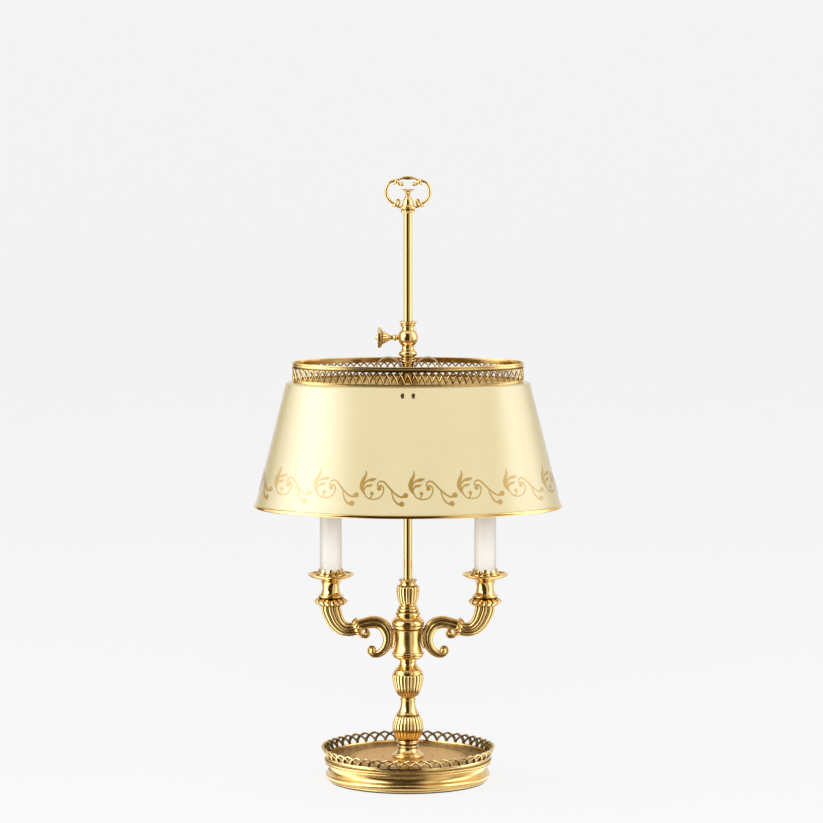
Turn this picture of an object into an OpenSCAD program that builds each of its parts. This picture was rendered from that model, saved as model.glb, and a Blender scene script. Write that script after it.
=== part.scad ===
// Two-light table lamp with an oval tole shade that slides and turns on a brass mast.
// Millimetres. The origin is on the surface it stands on, under the mast. +Z is up,
// +X runs towards the right-hand candle, and the cord inlet is at the back, on +Y.

/* [Base] */
// Thickness of the felt under the base
felt_t = 1.5; // [1:0.1:3]
// Radius of the plinth's top moulding
plinth_r = 95.5; // [88:0.5:110]
// Height of the plinth
plinth_h = 23.5; // [20:0.5:30]
// Wall of the spun plinth
plinth_wall = 1.5; // [1:0.1:2.5]
// Thickness of the tray plate
tray_t = 1.6; // [1:0.1:3]
// Radius of the ring engraved in the tray
tray_ring_r = 61; // [40:1:75]
// Height of the pierced gallery round the tray
gallery_h = 13; // [9:0.5:18]
// How far the gallery leans out at its tips
gallery_lean = 5.5; // [0:0.5:8]
// Thickness of the gallery's metal
gallery_t = 1.2; // [0.8:0.1:2]
// Pointed arches round the base gallery, an even number
gallery_arches = 48; // [24:2:60]
// Gap between the iron ballast and the foot of the plinth
ballast_gap = 3.5; // [2.5:0.5:30]
// Height of the iron ballast
ballast_h = 14.5; // [12:0.5:16]
// Bore of the cord inlet
inlet_bore_r = 3.3; // [2.5:0.1:3.8]

/* [Column] */
// Radius of the hollow tie rod that clamps the column together
rod_r = 5; // [4.5:0.1:6]
// Bore of the tie rod
rod_bore_r = 3.5; // [3.3:0.1:3.9]
// Height of the foot collar
foot_h = 17.4; // [14:0.2:22]
// Widest radius of the foot collar
foot_r = 18.2; // [16:0.2:24]
// Height of the lower vase
lower_vase_h = 32.8; // [26:0.2:40]
// Widest radius of the lower vase
lower_vase_r = 17.7; // [14:0.1:22]
// Height of the neck between the vases
vase_neck_h = 19.3; // [14:0.1:26]
// Height of the upper vase
upper_vase_h = 27.9; // [22:0.1:36]
// Widest radius of the upper vase
upper_vase_r = 18; // [14:0.1:22]
// Height of the shoulder over the upper vase
vase_cap_h = 15; // [12:0.2:20]
// Height of the hub's lower cap
hub_foot_h = 9.4; // [7:0.1:14]
// Rim radius of both hub caps
hub_rim_r = 18.8; // [18:0.1:20]
// Height of the hub that carries the arms
hub_h = 28; // [25:0.5:34]
// Radius of the hub's waist
hub_waist_r = 13.2; // [12.4:0.1:14.5]
// Height of the hub's upper cap
hub_top_h = 12.3; // [9:0.1:16]
// Height of the stepped rings over the hub
steps_h = 14; // [10:0.5:20]
// Height of the fluted bud
bud_h = 22.8; // [18:0.2:30]
// Widest radius of the fluted bud
bud_r = 13; // [10:0.1:16]
// Height of the collar over the bud
bud_collar_h = 6; // [4:0.2:9]

/* [Mast and finial] */
// Outside radius of the mast
mast_r = 5; // [4.5:0.1:6]
// Bore of the mast
mast_bore_r = 4; // [3:0.1:4.2]
// Length of the mast that shows above the column
mast_h = 419; // [380:1:460]
// How deep the mast sits in the bud
mast_socket = 16; // [8:0.5:20]
// Height of the finial's collar
finial_collar_h = 4.5; // [3.5:0.1:7]
// Height of the finial over its collar
finial_h = 22; // [18:0.5:30]
// Half the width of the ring handle, to the middle of its wire
handle_half_w = 24.8; // [22:0.2:32]
// Height of the ring handle, between the middles of its wire
handle_h = 33; // [30:0.5:42]
// Radius of the ring handle's wire
handle_wire_r = 1.35; // [1:0.05:1.8]

/* [Arms and candles] */
// Distance from the mast to each candle
candle_x = 87.5; // [80:0.5:96]
// Height of the arm's screwed joint above the foot of the hub
arm_join_h = 15.4; // [14:0.2:17]
// Rise of the arm from its joint to the seat of the candle cup
arm_rise = 36.2; // [34:0.2:44]
// Radius of the horn at its mouth
horn_r = 11.7; // [10:0.1:13]
// Radius of the wire way through the arm
wire_way_r = 2.2; // [1.8:0.1:2.4]
// Height of the turned candle cup
cup_h = 30.5; // [26:0.5:38]
// Radius of the leaf collar at the foot of the cup
cup_collar_r = 19; // [16:0.5:22]
// Radius of the drip pan
pan_r = 26.6; // [22:0.2:32]
// Depth of the drip pan
pan_h = 6.6; // [5:0.2:9]
// Height of the petal cup that holds the sleeve
petal_h = 11.5; // [8:0.5:14]
// Radius of the candle sleeve
sleeve_r = 12.5; // [11.5:0.1:14]
// Wall of the candle sleeve
sleeve_wall = 1.1; // [0.8:0.1:1.4]
// Length of the candle sleeve
sleeve_h = 101; // [85:1:105]
// Widest radius of the candle bulb
bulb_r = 17.5; // [15:0.5:18]
// Length of the bulb's glass
bulb_h = 75; // [60:1:76]

/* [Slider] */
// Height of the clamp screw at rest
clamp_z = 506.3; // [495:0.5:512]
// Radius of the ball that the clamp screw passes through
slider_ball_r = 11.6; // [10.5:0.1:14]
// Wall of the guide bush
bush_wall = 0.75; // [0.6:0.05:0.85]
// Radius of the clamp screw's thread
screw_r = 2.5; // [2:0.1:3]
// Radius of the thumb disc
thumb_r = 11.8; // [9:0.1:14]
// Length of the clamp screw that shows outside the ball
thumb_out = 22.6; // [18:0.2:28]
// How far the clamp screw backs off
clamp_travel = 2; // [1:0.1:2.4]

/* [Shade] */
// Half the length of the shade at its lower edge
shade_half_l = 173.6; // [165:0.5:185]
// Half the depth of the shade at its lower edge
shade_half_d = 98.3; // [92:0.5:108]
// How far the wall comes in between the lower edge and the shoulder
shade_taper = 34.6; // [25:0.2:36]
// Height of the flared wall
shade_h = 141; // [128:0.5:150]
// Thickness of the sheet-metal shade
shade_wall = 0.8; // [0.6:0.1:1.2]
// Drop from the clamp screw to the top of the shoulder
shade_drop = 50.3; // [48:0.1:52]
// How far the gallery stands in from the shoulder
shade_step = 8; // [6:0.5:10]
// Height of the shade gallery
shade_gallery_h = 21; // [16:0.5:28]
// Thickness of the shade gallery
shade_gallery_t = 1; // [0.8:0.1:1.6]
// Pointed arches round the shade gallery
shade_arches = 78; // [60:2:100]
// Radius of the top rim's tube
top_rim_r = 1.7; // [1.2:0.1:2.5]
// Radius of the lower rim's tube
low_rim_r = 1.9; // [1.4:0.1:2.8]
// Width of the bar that carries the shade front and back
bar_w = 24; // [20:0.5:32]
// Thickness of the carrier's strip metal
strip_t = 1.5; // [1:0.1:2]
// Width of the arched straps
strap_w = 16; // [10:0.5:20]
// Outside radius of the arched straps
strap_r = 14.6; // [13:0.1:17]
// Distance between the two screws of a pair
screw_gap = 12.2; // [10:0.2:15]

/* [Hidden] */

// Colours of the finishes
brass = [0.80, 0.62, 0.28];
satin_brass = [0.78, 0.62, 0.36];
cream = [0.93, 0.88, 0.70];
ivory = [0.95, 0.93, 0.88];
opal = [0.97, 0.96, 0.92];
steel = [0.70, 0.71, 0.73];
iron = [0.25, 0.25, 0.26];
black = [0.08, 0.08, 0.08];
felt_green = [0.16, 0.24, 0.18];

// Clearances: sliding fits, pieces threaded on the rod, and a free gap
fit = 0.05;
slip = 0.1;
free_gap = 0.3;
// A little extra that carries a cut past the faces it opens
past = 1;
round_fn = 96;

// Heights of the pieces, stacked from the surface up
plinth_z = felt_t;
tray_z = plinth_z + plinth_h;
foot_z = tray_z + tray_t;
lower_vase_z = foot_z + foot_h;
vase_neck_z = lower_vase_z + lower_vase_h;
upper_vase_z = vase_neck_z + vase_neck_h;
vase_cap_z = upper_vase_z + upper_vase_h;
hub_foot_z = vase_cap_z + vase_cap_h;
hub_z = hub_foot_z + hub_foot_h;
hub_top_z = hub_z + hub_h;
steps_z = hub_top_z + hub_top_h;
bud_z = steps_z + steps_h;
bud_collar_z = bud_z + bud_h;
mast_z = bud_collar_z + bud_collar_h;
mast_top = mast_z + mast_h;
mast_foot = mast_z - mast_socket;
finial_socket = 3;
finial_collar_z = mast_top - finial_socket;
finial_z = finial_collar_z + finial_collar_h;

// Under the tray: nut, washer, ballast and wiring
base_nut_h = 5;
base_nut_r = 9.8;
base_washer_t = 1.5;
base_washer_r = 12;
base_washer_z = plinth_z + base_nut_h + 0.5;
ballast_seat_z = base_washer_z + base_washer_t;
ballast_z = plinth_z;
ballast_top = ballast_z + ballast_h;
plinth_lip_r = plinth_r - 12;
ballast_r = plinth_lip_r - ballast_gap;
ballast_boss_r = 16;
wire_r = 1.2;
wire_side = 1.5;
wire_slot_w = 8;
wire_slot_z = ballast_top - 4.5;
wire_z = wire_slot_z + 2;
wire_hole_r = 2.9;
block_w = 20;
block_d = 12;
block_h = 9;
block_y = 54;
block_z = ballast_top - block_h - 0.8;
pocket_gap = 2;

// Cord gland, through the waist of the plinth at the back
gland_r = 5;
gland_out_y = plinth_r - 1.5;
gland_in_y = plinth_r - 11.5;
gland_flange_r = 6.6;
gland_flange_t = 2.5;
gland_z = plinth_z + plinth_h * 0.58;

// Hub inside, and the screwed joints of the arms
hub_cavity_r = hub_waist_r - 2.7;
hub_wall = 4;
join_z = hub_z + arm_join_h;
nipple_r = 3.5;
nipple_in = rod_r + 1.4;
nipple_out = 21;
arm_nut_r = 5.4;
arm_nut_t = 2.2;
arm_boss_r = 4.6;
arm_boss_x = hub_waist_r + 0.25;

// Candle fittings, stacked on the arm
cup_z = join_z + arm_rise;
pan_z = cup_z + cup_h;
pan_t = 1.2;
petal_z = pan_z + pan_t;
petal_base_t = 1.2;
sleeve_z = petal_z + petal_base_t;
sleeve_top = sleeve_z + sleeve_h;
holder_stem_r = 5;
holder_r = sleeve_r - sleeve_wall - free_gap;
holder_cup_h = 34;
holder_cup_z = sleeve_top - holder_cup_h - 3;
holder_floor = 4;
cap_r = 6.9;
cap_z = holder_cup_z + holder_floor;
cap_h = 28;
bulb_z = cap_z + cap_h;

// Slider, stacked down and up from the clamp screw
bush_r = mast_r + fit + bush_wall;
collar_bore = bush_r + fit;
collar_neck_r = collar_bore + 0.95;
collar_up = 18.6;
collar_down = 13.6;
shoulder_z = clamp_z - shade_drop;
shoulder_round = 4;
bend_z = shoulder_z - shoulder_round;
bar_top = bend_z - 0.5;
bar_z = bar_top - strip_t;
slider_base_top = clamp_z - collar_down;
nozzle_bore = mast_r + free_gap;
nozzle_r = nozzle_bore + 0.8;
nozzle_seat_r = nozzle_r + 1.2;
nozzle_seat_h = 2.5;
carrier_nut_h = 4;
carrier_nut_r = 10;
nozzle_foot = bar_z - carrier_nut_h;
bush_foot = slider_base_top - 11.5;
bush_top = clamp_z + collar_up - 1;

// Clamp screw, along X on the left
pad_r = 2.1;
pad_t = 1.4;
pad_gap = 0.05;
pad_face = bush_r + pad_gap;
screw_face = pad_face + pad_t;
thumb_neck = slider_ball_r + clamp_travel * 0.5;
thumb_face = slider_ball_r + thumb_out;
thumb_disc_t = 3.6;

// Shade outline, as half axes at each level
shade_sides = 96;
shoulder_a = shade_half_l - shade_taper;
shoulder_b = shade_half_d - shade_taper;
shade_low_z = shoulder_z - shade_h;
gallery_a = shoulder_a - shade_step;
gallery_b = shoulder_b - shade_step;
lip_in = shade_step + 2;
top_rim_z = shoulder_z + shade_gallery_h;
shade_slope = shade_taper / (shade_h - shoulder_round);
shade_lean = atan(shade_slope);
screw_drop = 9;
screw_line_z = shoulder_z - screw_drop;
screw_line_y = shoulder_b + (bend_z - screw_line_z) * shade_slope;
screw_head_r = 2.5;
screw_head_h = 1.2;
screw_shank_r = 1.5;
tab_h = 16;
tab_y = shoulder_b - shade_wall + (bend_z - bar_top) * shade_slope - free_gap;
strap_x = nozzle_seat_r + free_gap + strap_r;
strap_t = 1.2;
strap_drop = 22.2;

// ---- Shape functions ----

// Points of an arc in the plane of a profile
function arc(c, r, from, to, n = 10) =
    [for (i = [0 : n]) let (a = from + (to - from) * i / n) c + r * [cos(a), sin(a)]];

// One point of the smooth curve that runs from b to c
function between(a, b, c, d, t) =
    0.5 * (2 * b + (c - a) * t + (2 * a - 5 * b + 4 * c - d) * t * t
    + (3 * b - a - 3 * c + d) * t * t * t);

// A smooth curve through a few control points
function smooth(p, n = 5) = [
    for (i = [0 : len(p) - 2]) for (k = [0 : n - 1])
        between(p[max(i - 1, 0)], p[i], p[i + 1], p[min(i + 2, len(p) - 1)], k / n),
    p[len(p) - 1],
];

// Outline of a turned piece: control points give radius and share of the height
function turned_outline(z, h, bore, curve) = concat(
    [[bore, z]], [for (p = curve) [p[0], z + p[1] * h]], [[bore, z + h]]);

function unit(v) = v / norm(v);

// Direction of a path at point i
function heading(path, i) =
    unit(path[min(i + 1, len(path) - 1)] - path[max(i - 1, 0)]);

// Side vectors carried along a path without twist
function carried(path, start) = [
    for (i = 0, s = start;
        i < len(path);
        i = i + 1, s = i < len(path) ? unit(s - (s * heading(path, i)) * heading(path, i)) : s) s];

// Rings of points along a path, squeezed sideways by flat
function tube_points(path, radii, sides, start, flat) = let (s = carried(path, start)) [
    for (i = [0 : len(path) - 1]) let (t = heading(path, i), c = cross(t, s[i]))
        for (k = [0 : sides - 1]) let (a = 360 * k / sides)
            path[i] + radii[i] * (cos(a) * s[i] * flat + sin(a) * c)];

// Faces of a closed tube of rings
function tube_faces(rings, sides) = concat(
    [[for (k = [0 : sides - 1]) k]],
    [for (i = [0 : rings - 2]) for (k = [0 : sides - 1]) let (n = (k + 1) % sides)
        [i * sides + n, i * sides + k, (i + 1) * sides + k, (i + 1) * sides + n]],
    [[for (k = [sides - 1 : -1 : 0]) (rings - 1) * sides + k]]);

// A round bar along a path
module tube(path, radii, sides = 12, start = [0, 1, 0], flat = 1) {
    polyhedron(tube_points(path, radii, sides, start, flat), tube_faces(len(path), sides));
}

// A turned piece about Z
module turned(points) {
    rotate_extrude($fn = round_fn) polygon(points);
}

// An oval ring whose section is a list of [outset, height] pairs round the half axes a and b
module oval_ring(a, b, section, sides = shade_sides) {
    m = len(section);
    points = [for (i = [0 : sides - 1]) let (t = 360 * i / sides)
        for (s = section) [(a + s[0]) * cos(t), (b + s[0]) * sin(t), s[1]]];
    faces = [for (i = [0 : sides - 1]) let (j = (i + 1) % sides)
        for (k = [0 : m - 1]) let (n = (k + 1) % m)
            [i * m + k, i * m + n, j * m + n, j * m + k]];
    polyhedron(points, faces);
}

// Distance round a quarter of the gallery's oval, as a table of [length, angle]
arc_steps = 90;
function oval_at(t, a, b) = [a * cos(t), b * sin(t)];
function oval_table(a, b) = [
    for (i = 0, d = 0; i <= 4 * arc_steps;
        i = i + 1, d = d + norm(oval_at(i * 90 / arc_steps, a, b)
            - oval_at((i - 1) * 90 / arc_steps, a, b)))
        [d, i * 90 / arc_steps]];
gallery_table = oval_table(gallery_a, gallery_b);
gallery_round = gallery_table[4 * arc_steps][0];
shade_pitch = gallery_round / shade_arches;
function gallery_angle(s) = lookup(s, gallery_table);

// A pointed arch from a flat foot, w wide and h high
function pointed_arch(w, h) = [
    [-w / 2, 0], [w / 2, 0], [w / 2, h * 0.35], [w * 0.32, h * 0.68], [0, h],
    [-w * 0.32, h * 0.68], [-w / 2, h * 0.35]];

// ---- Base ----

module felt_pad() {
    color(felt_green) cylinder(r = plinth_r - 6.5, h = felt_t, $fn = round_fn);
}

// Outside of the plinth: a torus foot, a cavetto and a stepped top moulding
plinth_foot_tube = 5;
plinth_foot_r = plinth_r - 2;
plinth_waist_r = plinth_r - 5.5;
plinth_bead_r = 0.9;
plinth_outside = concat(
    arc([plinth_foot_r - plinth_foot_tube, plinth_foot_tube], plinth_foot_tube, -90, 60, 8),
    [[plinth_waist_r + 0.4, plinth_foot_tube * 2 - 0.2], [plinth_waist_r, plinth_h * 0.5],
        [plinth_waist_r + 0.3, plinth_h * 0.62], [plinth_waist_r + 1.5, plinth_h * 0.74],
        [plinth_r - 1.8, plinth_h * 0.84], [plinth_r - 1, plinth_h * 0.86],
        [plinth_r - 1, plinth_h * 0.9]],
    arc([plinth_r - plinth_bead_r, plinth_h - plinth_bead_r], plinth_bead_r, -70, 90, 6));

module base_plinth() {
    wall_in = [[plinth_r - 9, plinth_h], [plinth_waist_r - plinth_wall, plinth_h - 2],
        [plinth_waist_r - plinth_wall, plinth_foot_tube * 1.7],
        [plinth_foot_r - plinth_wall - 1, plinth_foot_tube],
        [plinth_foot_r - plinth_foot_tube - 2, plinth_wall],
        [plinth_lip_r, plinth_wall], [plinth_lip_r, 0]];
    color(satin_brass) difference() {
        translate([0, 0, plinth_z]) turned(concat(plinth_outside, wall_in));
        translate([0, gland_in_y - past, gland_z]) rotate([-90, 0, 0])
            cylinder(r = gland_r, h = gland_out_y - gland_in_y + 2 * past + 4, $fn = 48);
    }
}

module base_tray() {
    tray_r = plinth_r - 1;
    groove = 0.4;
    color(satin_brass) turned([
        [rod_r + slip, tray_z], [tray_r, tray_z], [tray_r, foot_z],
        [tray_ring_r + groove, foot_z], [tray_ring_r, foot_z - groove],
        [tray_ring_r - groove, foot_z], [rod_r + slip, foot_z]]);
}

// Gallery round the tray: a band that carries leaning, pointed arches side by side
module base_gallery() {
    foot = plinth_r - 1.4;
    band = 2;
    ledge = 0.6;
    bar = 1.4;
    bay = 2 * PI * foot / gallery_arches;
    lean = atan(gallery_lean / (gallery_h - band));
    tall = (gallery_h - band) / cos(lean);
    wide = bay * 0.97;
    sunk = 0.8;
    color(brass) {
        translate([0, 0, foot_z]) turned([[foot - gallery_t - ledge, 0], [foot, 0], [foot, band],
            [foot - gallery_t - ledge, band]]);
        for (i = [0 : gallery_arches - 1])
            rotate([0, 0, i * 360 / gallery_arches]) translate([foot - ledge / 2, 0, foot_z + band])
                rotate([0, lean, 0]) rotate([90, 0, 90]) translate([0, -sunk, -gallery_t])
                    linear_extrude(gallery_t) difference() {
                        polygon(pointed_arch(wide, tall + sunk));
                        translate([0, sunk + bar])
                            polygon(pointed_arch(wide - 2 * bar, tall - 2.6 * bar));
                    }
    }
}

module ballast_disc() {
    bore = rod_r + slip;
    color(iron) difference() {
        turned([
            [base_washer_r + slip, ballast_z], [ballast_r, ballast_z], [ballast_r, ballast_top],
            [ballast_boss_r, ballast_top], [ballast_boss_r, tray_z], [bore, tray_z],
            [bore, ballast_seat_z], [base_washer_r + slip, ballast_seat_z]]);
        translate([-wire_slot_w / 2, 0, wire_slot_z])
            cube([wire_slot_w, block_y, tray_z - wire_slot_z + past]);
        translate([-block_w / 2 - pocket_gap, block_y - block_d / 2 - pocket_gap, block_z])
            cube([block_w + 2 * pocket_gap, ballast_r, ballast_h]);
    }
}

module tie_rod() {
    rod_foot = plinth_z + 0.5;
    color(steel) difference() {
        turned([[rod_bore_r, rod_foot], [rod_r, rod_foot], [rod_r, mast_foot],
            [rod_bore_r, mast_foot]]);
        translate([0, 0, wire_z]) rotate([-90, 0, 0])
            cylinder(r = wire_hole_r, h = rod_r + past, $fn = 32);
        translate([-rod_r - past, 0, join_z]) rotate([0, 90, 0])
            cylinder(r = wire_hole_r, h = 2 * (rod_r + past), $fn = 32);
    }
}

module tie_nut() {
    color(steel) difference() {
        translate([0, 0, base_washer_z - base_nut_h])
            cylinder(r = base_nut_r, h = base_nut_h, $fn = 6);
        cylinder(r = rod_r, h = base_washer_z + past, $fn = round_fn);
    }
}

module tie_washer() {
    color(steel) turned([[rod_r + slip, base_washer_z], [base_washer_r, base_washer_z],
        [base_washer_r, ballast_seat_z], [rod_r + slip, ballast_seat_z]]);
}

module terminal_block() {
    color(ivory) difference() {
        translate([-block_w / 2, block_y - block_d / 2, block_z])
            cube([block_w, block_d, block_h]);
        for (s = [-1, 1])
            translate([s * block_w / 4, block_y, block_z + block_h - 3])
                cylinder(r = 2, h = 3 + past, $fn = 24);
    }
}

module cord_gland() {
    color(black) translate([0, gland_in_y, gland_z]) rotate([-90, 0, 0]) turned([
        [inlet_bore_r, 0], [gland_flange_r, 0], [gland_flange_r, gland_flange_t],
        [gland_r, gland_flange_t], [gland_r, gland_out_y - gland_in_y],
        [inlet_bore_r, gland_out_y - gland_in_y]]);
}

// ---- Column ----

column_bore = rod_r + slip;

module foot_collar() {
    color(brass) turned(turned_outline(foot_z, foot_h, column_bore, concat(
        smooth([[foot_r * 0.93, 0], [foot_r, 0.14], [foot_r * 0.97, 0.26], [foot_r * 0.8, 0.42],
            [foot_r * 0.66, 0.58], [foot_r * 0.61, 0.74]]),
        [[foot_r * 0.57, 0.76], [foot_r * 0.57, 0.93], [foot_r * 0.66, 1]])));
}

module lower_vase() {
    r = lower_vase_r;
    color(brass) turned(turned_outline(lower_vase_z, lower_vase_h, column_bore, concat(
        [[r * 0.68, 0], [r * 0.71, 0.05], [r * 0.66, 0.1]],
        smooth([[r * 0.67, 0.12], [r * 0.86, 0.3], [r * 0.985, 0.48], [r, 0.6], [r * 0.95, 0.76],
            [r * 0.86, 0.92]]),
        [[r * 0.78, 0.95], [r * 0.78, 1]])));
}

module vase_neck() {
    r = lower_vase_r;
    color(brass) turned(turned_outline(vase_neck_z, vase_neck_h, column_bore, concat(
        smooth([[r * 0.72, 0], [r * 0.62, 0.28], [r * 0.5, 0.56], [r * 0.49, 0.72]]),
        smooth([[r * 0.5, 0.76], [r * 0.54, 0.84], [r * 0.5, 0.93]]),
        [[r * 0.5, 1]])));
}

module upper_vase() {
    r = upper_vase_r;
    color(brass) turned(turned_outline(upper_vase_z, upper_vase_h, column_bore, smooth([
        [r * 0.52, 0], [r * 0.66, 0.06], [r * 0.79, 0.18], [r * 0.89, 0.34], [r * 0.965, 0.5],
        [r, 0.74], [r * 0.99, 0.9], [r * 0.96, 1]])));
}

module vase_cap() {
    r = upper_vase_r;
    color(brass) turned(turned_outline(vase_cap_z, vase_cap_h, column_bore, smooth([
        [r * 0.96, 0], [r * 0.94, 0.13], [r * 0.8, 0.3], [r * 0.7, 0.46], [r * 0.6, 0.64],
        [r * 0.565, 0.78], [r * 0.63, 0.93], [r * 0.7, 1]])));
}

module hub_foot() {
    r = hub_rim_r;
    color(brass) turned(turned_outline(hub_foot_z, hub_foot_h, column_bore, concat(
        smooth([[r * 0.73, 0], [r * 0.79, 0.13], [r * 0.85, 0.32], [r * 0.94, 0.55]]),
        [[r * 0.96, 0.6]],
        smooth([[r, 0.72], [r, 0.9], [r * 0.965, 1]]))));
}

// Waisted hub, hollow for the wiring, with a hole on each side for an arm
module hub_body() {
    w = hub_waist_r;
    color(satin_brass) difference() {
        translate([0, 0, hub_z]) turned(concat(
            smooth([[w * 1.37, 0], [w * 1.3, hub_h * 0.1], [w * 1.1, hub_h * 0.26],
                [w * 1.01, hub_h * 0.43], [w, hub_h * 0.58], [w * 1.05, hub_h * 0.76],
                [w * 1.17, hub_h * 0.92], [w * 1.28, hub_h]]),
            [[column_bore, hub_h], [column_bore, hub_h - hub_wall],
                [hub_cavity_r, hub_h - hub_wall], [hub_cavity_r, hub_wall],
                [column_bore, hub_wall], [column_bore, 0]]));
        translate([-hub_rim_r, 0, join_z]) rotate([0, 90, 0])
            cylinder(r = nipple_r, h = 2 * hub_rim_r, $fn = 48);
    }
}

module hub_top() {
    r = hub_rim_r;
    color(brass) turned(turned_outline(hub_top_z, hub_top_h, column_bore, concat(
        smooth([[r * 0.965, 0], [r, 0.08], [r, 0.28], [r * 0.975, 0.36]]),
        smooth([[r * 0.95, 0.4], [r * 0.94, 0.62], [r * 0.86, 0.84], [r * 0.7, 1]]))));
}

module stepped_rings() {
    color(brass) turned(turned_outline(steps_z, steps_h, column_bore, concat(
        [[12.2, 0]],
        smooth([[12.6, 0.02], [13.9, 0.12], [14.2, 0.24], [13.6, 0.36], [12, 0.42]]),
        smooth([[11.8, 0.45], [12.5, 0.56], [11.9, 0.68]]),
        smooth([[10.9, 0.72], [10.6, 0.84], [9.4, 0.95], [9, 1]]))));
}

module fluted_bud() {
    r = bud_r;
    color(brass) turned(turned_outline(bud_z, bud_h, mast_r + fit, smooth([
        [r * 0.7, 0], [r * 0.8, 0.1], [r * 0.9, 0.26], [r * 0.985, 0.48], [r, 0.68], [r * 0.97, 0.84],
        [r * 0.86, 0.94], [r * 0.74, 1]])));
}

module bud_collar() {
    color(brass) turned(turned_outline(bud_collar_z, bud_collar_h, mast_r + fit, [
        [9.3, 0], [8.9, 0.22], [9.2, 0.36], [10.1, 0.5], [10.3, 0.66], [10.2, 0.9], [9.6, 1]]));
}

module mast() {
    color(brass) turned([[mast_bore_r, mast_foot], [mast_r, mast_foot], [mast_r, mast_top],
        [mast_bore_r, mast_top]]);
}

// ---- Finial ----

module finial_collar() {
    color(brass) turned(concat(
        [[0, finial_z], [0, mast_top], [mast_r + fit, mast_top], [mast_r + fit, finial_collar_z]],
        smooth([[6.6, finial_collar_z], [8.2, finial_collar_z + finial_collar_h * 0.3],
            [8.4, finial_collar_z + finial_collar_h * 0.6], [7.6, finial_z]], 4)));
}

module finial_baluster() {
    color(brass) translate([0, 0, finial_z]) turned(concat(
        [[0, 0]],
        smooth([[8, 0], [9.2, finial_h * 0.05], [9.2, finial_h * 0.11], [7.6, finial_h * 0.19]], 4),
        smooth([[6.6, finial_h * 0.22], [5.7, finial_h * 0.36], [5.3, finial_h * 0.46],
            [4.2, finial_h * 0.56], [2.9, finial_h * 0.64], [2.6, finial_h * 0.71],
            [3.4, finial_h * 0.81], [5.2, finial_h * 0.89], [8.2, finial_h * 0.98]], 4),
        [[8.2, finial_h], [0, finial_h]]));
}

// Ring handle: an oval loop of wire with a baluster grip, leaf collars and curled ends
handle_z = finial_z + 1.7;
handle_half = smooth([
    [0, 1], [0.2, 0.99], [0.4, 0.955], [0.62, 0.89], [0.8, 0.85], [0.94, 0.73], [1, 0.55],
    [0.98, 0.4], [0.9, 0.28], [0.76, 0.18], [0.6, 0.1], [0.44, 0.03], [0.3, 0.01], [0.16, 0.04]], 3);
function handle_point(p, side) =
    [side * p[0] * handle_half_w, 0, handle_z + p[1] * handle_h];

module ring_handle() {
    last = len(handle_half) - 1;
    path = concat([for (i = [last : -1 : 1]) handle_point(handle_half[i], -1)],
        [for (p = handle_half) handle_point(p, 1)]);
    radii = [for (p = path)
        handle_wire_r * (1 + max(0, 0.85 - abs(p[0]) / 5) * (p[2] > handle_z + handle_h / 2 ? 1 : 0))];
    color(brass) {
        union() {
            tube(path, radii, 8);
            for (side = [-1, 1]) {
                translate(handle_point([0.24, 0.76], side)) sphere(r = 2, $fn = 24);
                hull() {
                    translate(handle_point([0.52, 0.91], side)) sphere(r = 1.9, $fn = 16);
                    translate(handle_point([0.26, 0.78], side)) sphere(r = 1.4, $fn = 16);
                }
                hull() {
                    translate(handle_point([0.33, 0.19], side)) sphere(r = 1.7, $fn = 16);
                    translate(handle_point([0.5, 0.06], side)) sphere(r = 1.2, $fn = 16);
                }
                translate(handle_point([0.64, 0.12], side)) sphere(r = 2.1, $fn = 24);
            }
        }
    }
}

// ---- Arms ----

// Middle line of the arm with its half thickness: x, height above the joint, radius.
// The horn's points are measured from the candle, and the scroll's from the mast.
arm_line = concat([[candle_x, arm_rise, horn_r]], smooth([
    [candle_x, arm_rise - 1.5, horn_r],
    [candle_x - 2, arm_rise - 9.4, 11],
    [candle_x - 5.7, arm_rise - 17.8, 9.9],
    [candle_x - 11.7, arm_rise - 24.3, 8.9],
    [candle_x - 18.2, 9.4, 8],
    [candle_x - 24, 9.6, 7.9],
    [candle_x - 29.6, 12, 8.6],
    [candle_x - 32, 13.2, 8.8],
    [54, 14, 6.4],
    [45, 17, 6.9],
    [37.8, 17.7, 7.2],
    [29.8, 15.2, 7.3],
    [23.6, 7.6, 7],
    [22.3, -0.4, 6.3],
    [23.5, -8, 5.5],
    [26.6, -14.2, 5.1],
    [31, -17.6, 4.7],
    [35.6, -18.6, 4.3]], 3));
volute = [38.7, -15.8, 5.8];
curl = [46.4, 4.5, 4.3];
arm_flat = 0.82;

// The wire way: from the joint into the scroll, then along the middle of the horn
wire_way = [
    [9, 0], [15, 0], [19.5, 0.8], [22.6, 3.6], [25.2, 9], [30.6, 14.8], [37.8, 17.2], [45, 16.6],
    [54, 14], [candle_x - 29.6, 12], [candle_x - 24, 9.8], [candle_x - 18.2, 10],
    [candle_x - 11.7, arm_rise - 23.4], [candle_x - 5.7, arm_rise - 16.6],
    [candle_x - 1.6, arm_rise - 8.4], [candle_x, arm_rise - 1], [candle_x, arm_rise + 6]];

function lift(p) = [p[0], 0, join_z + p[1]];

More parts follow.
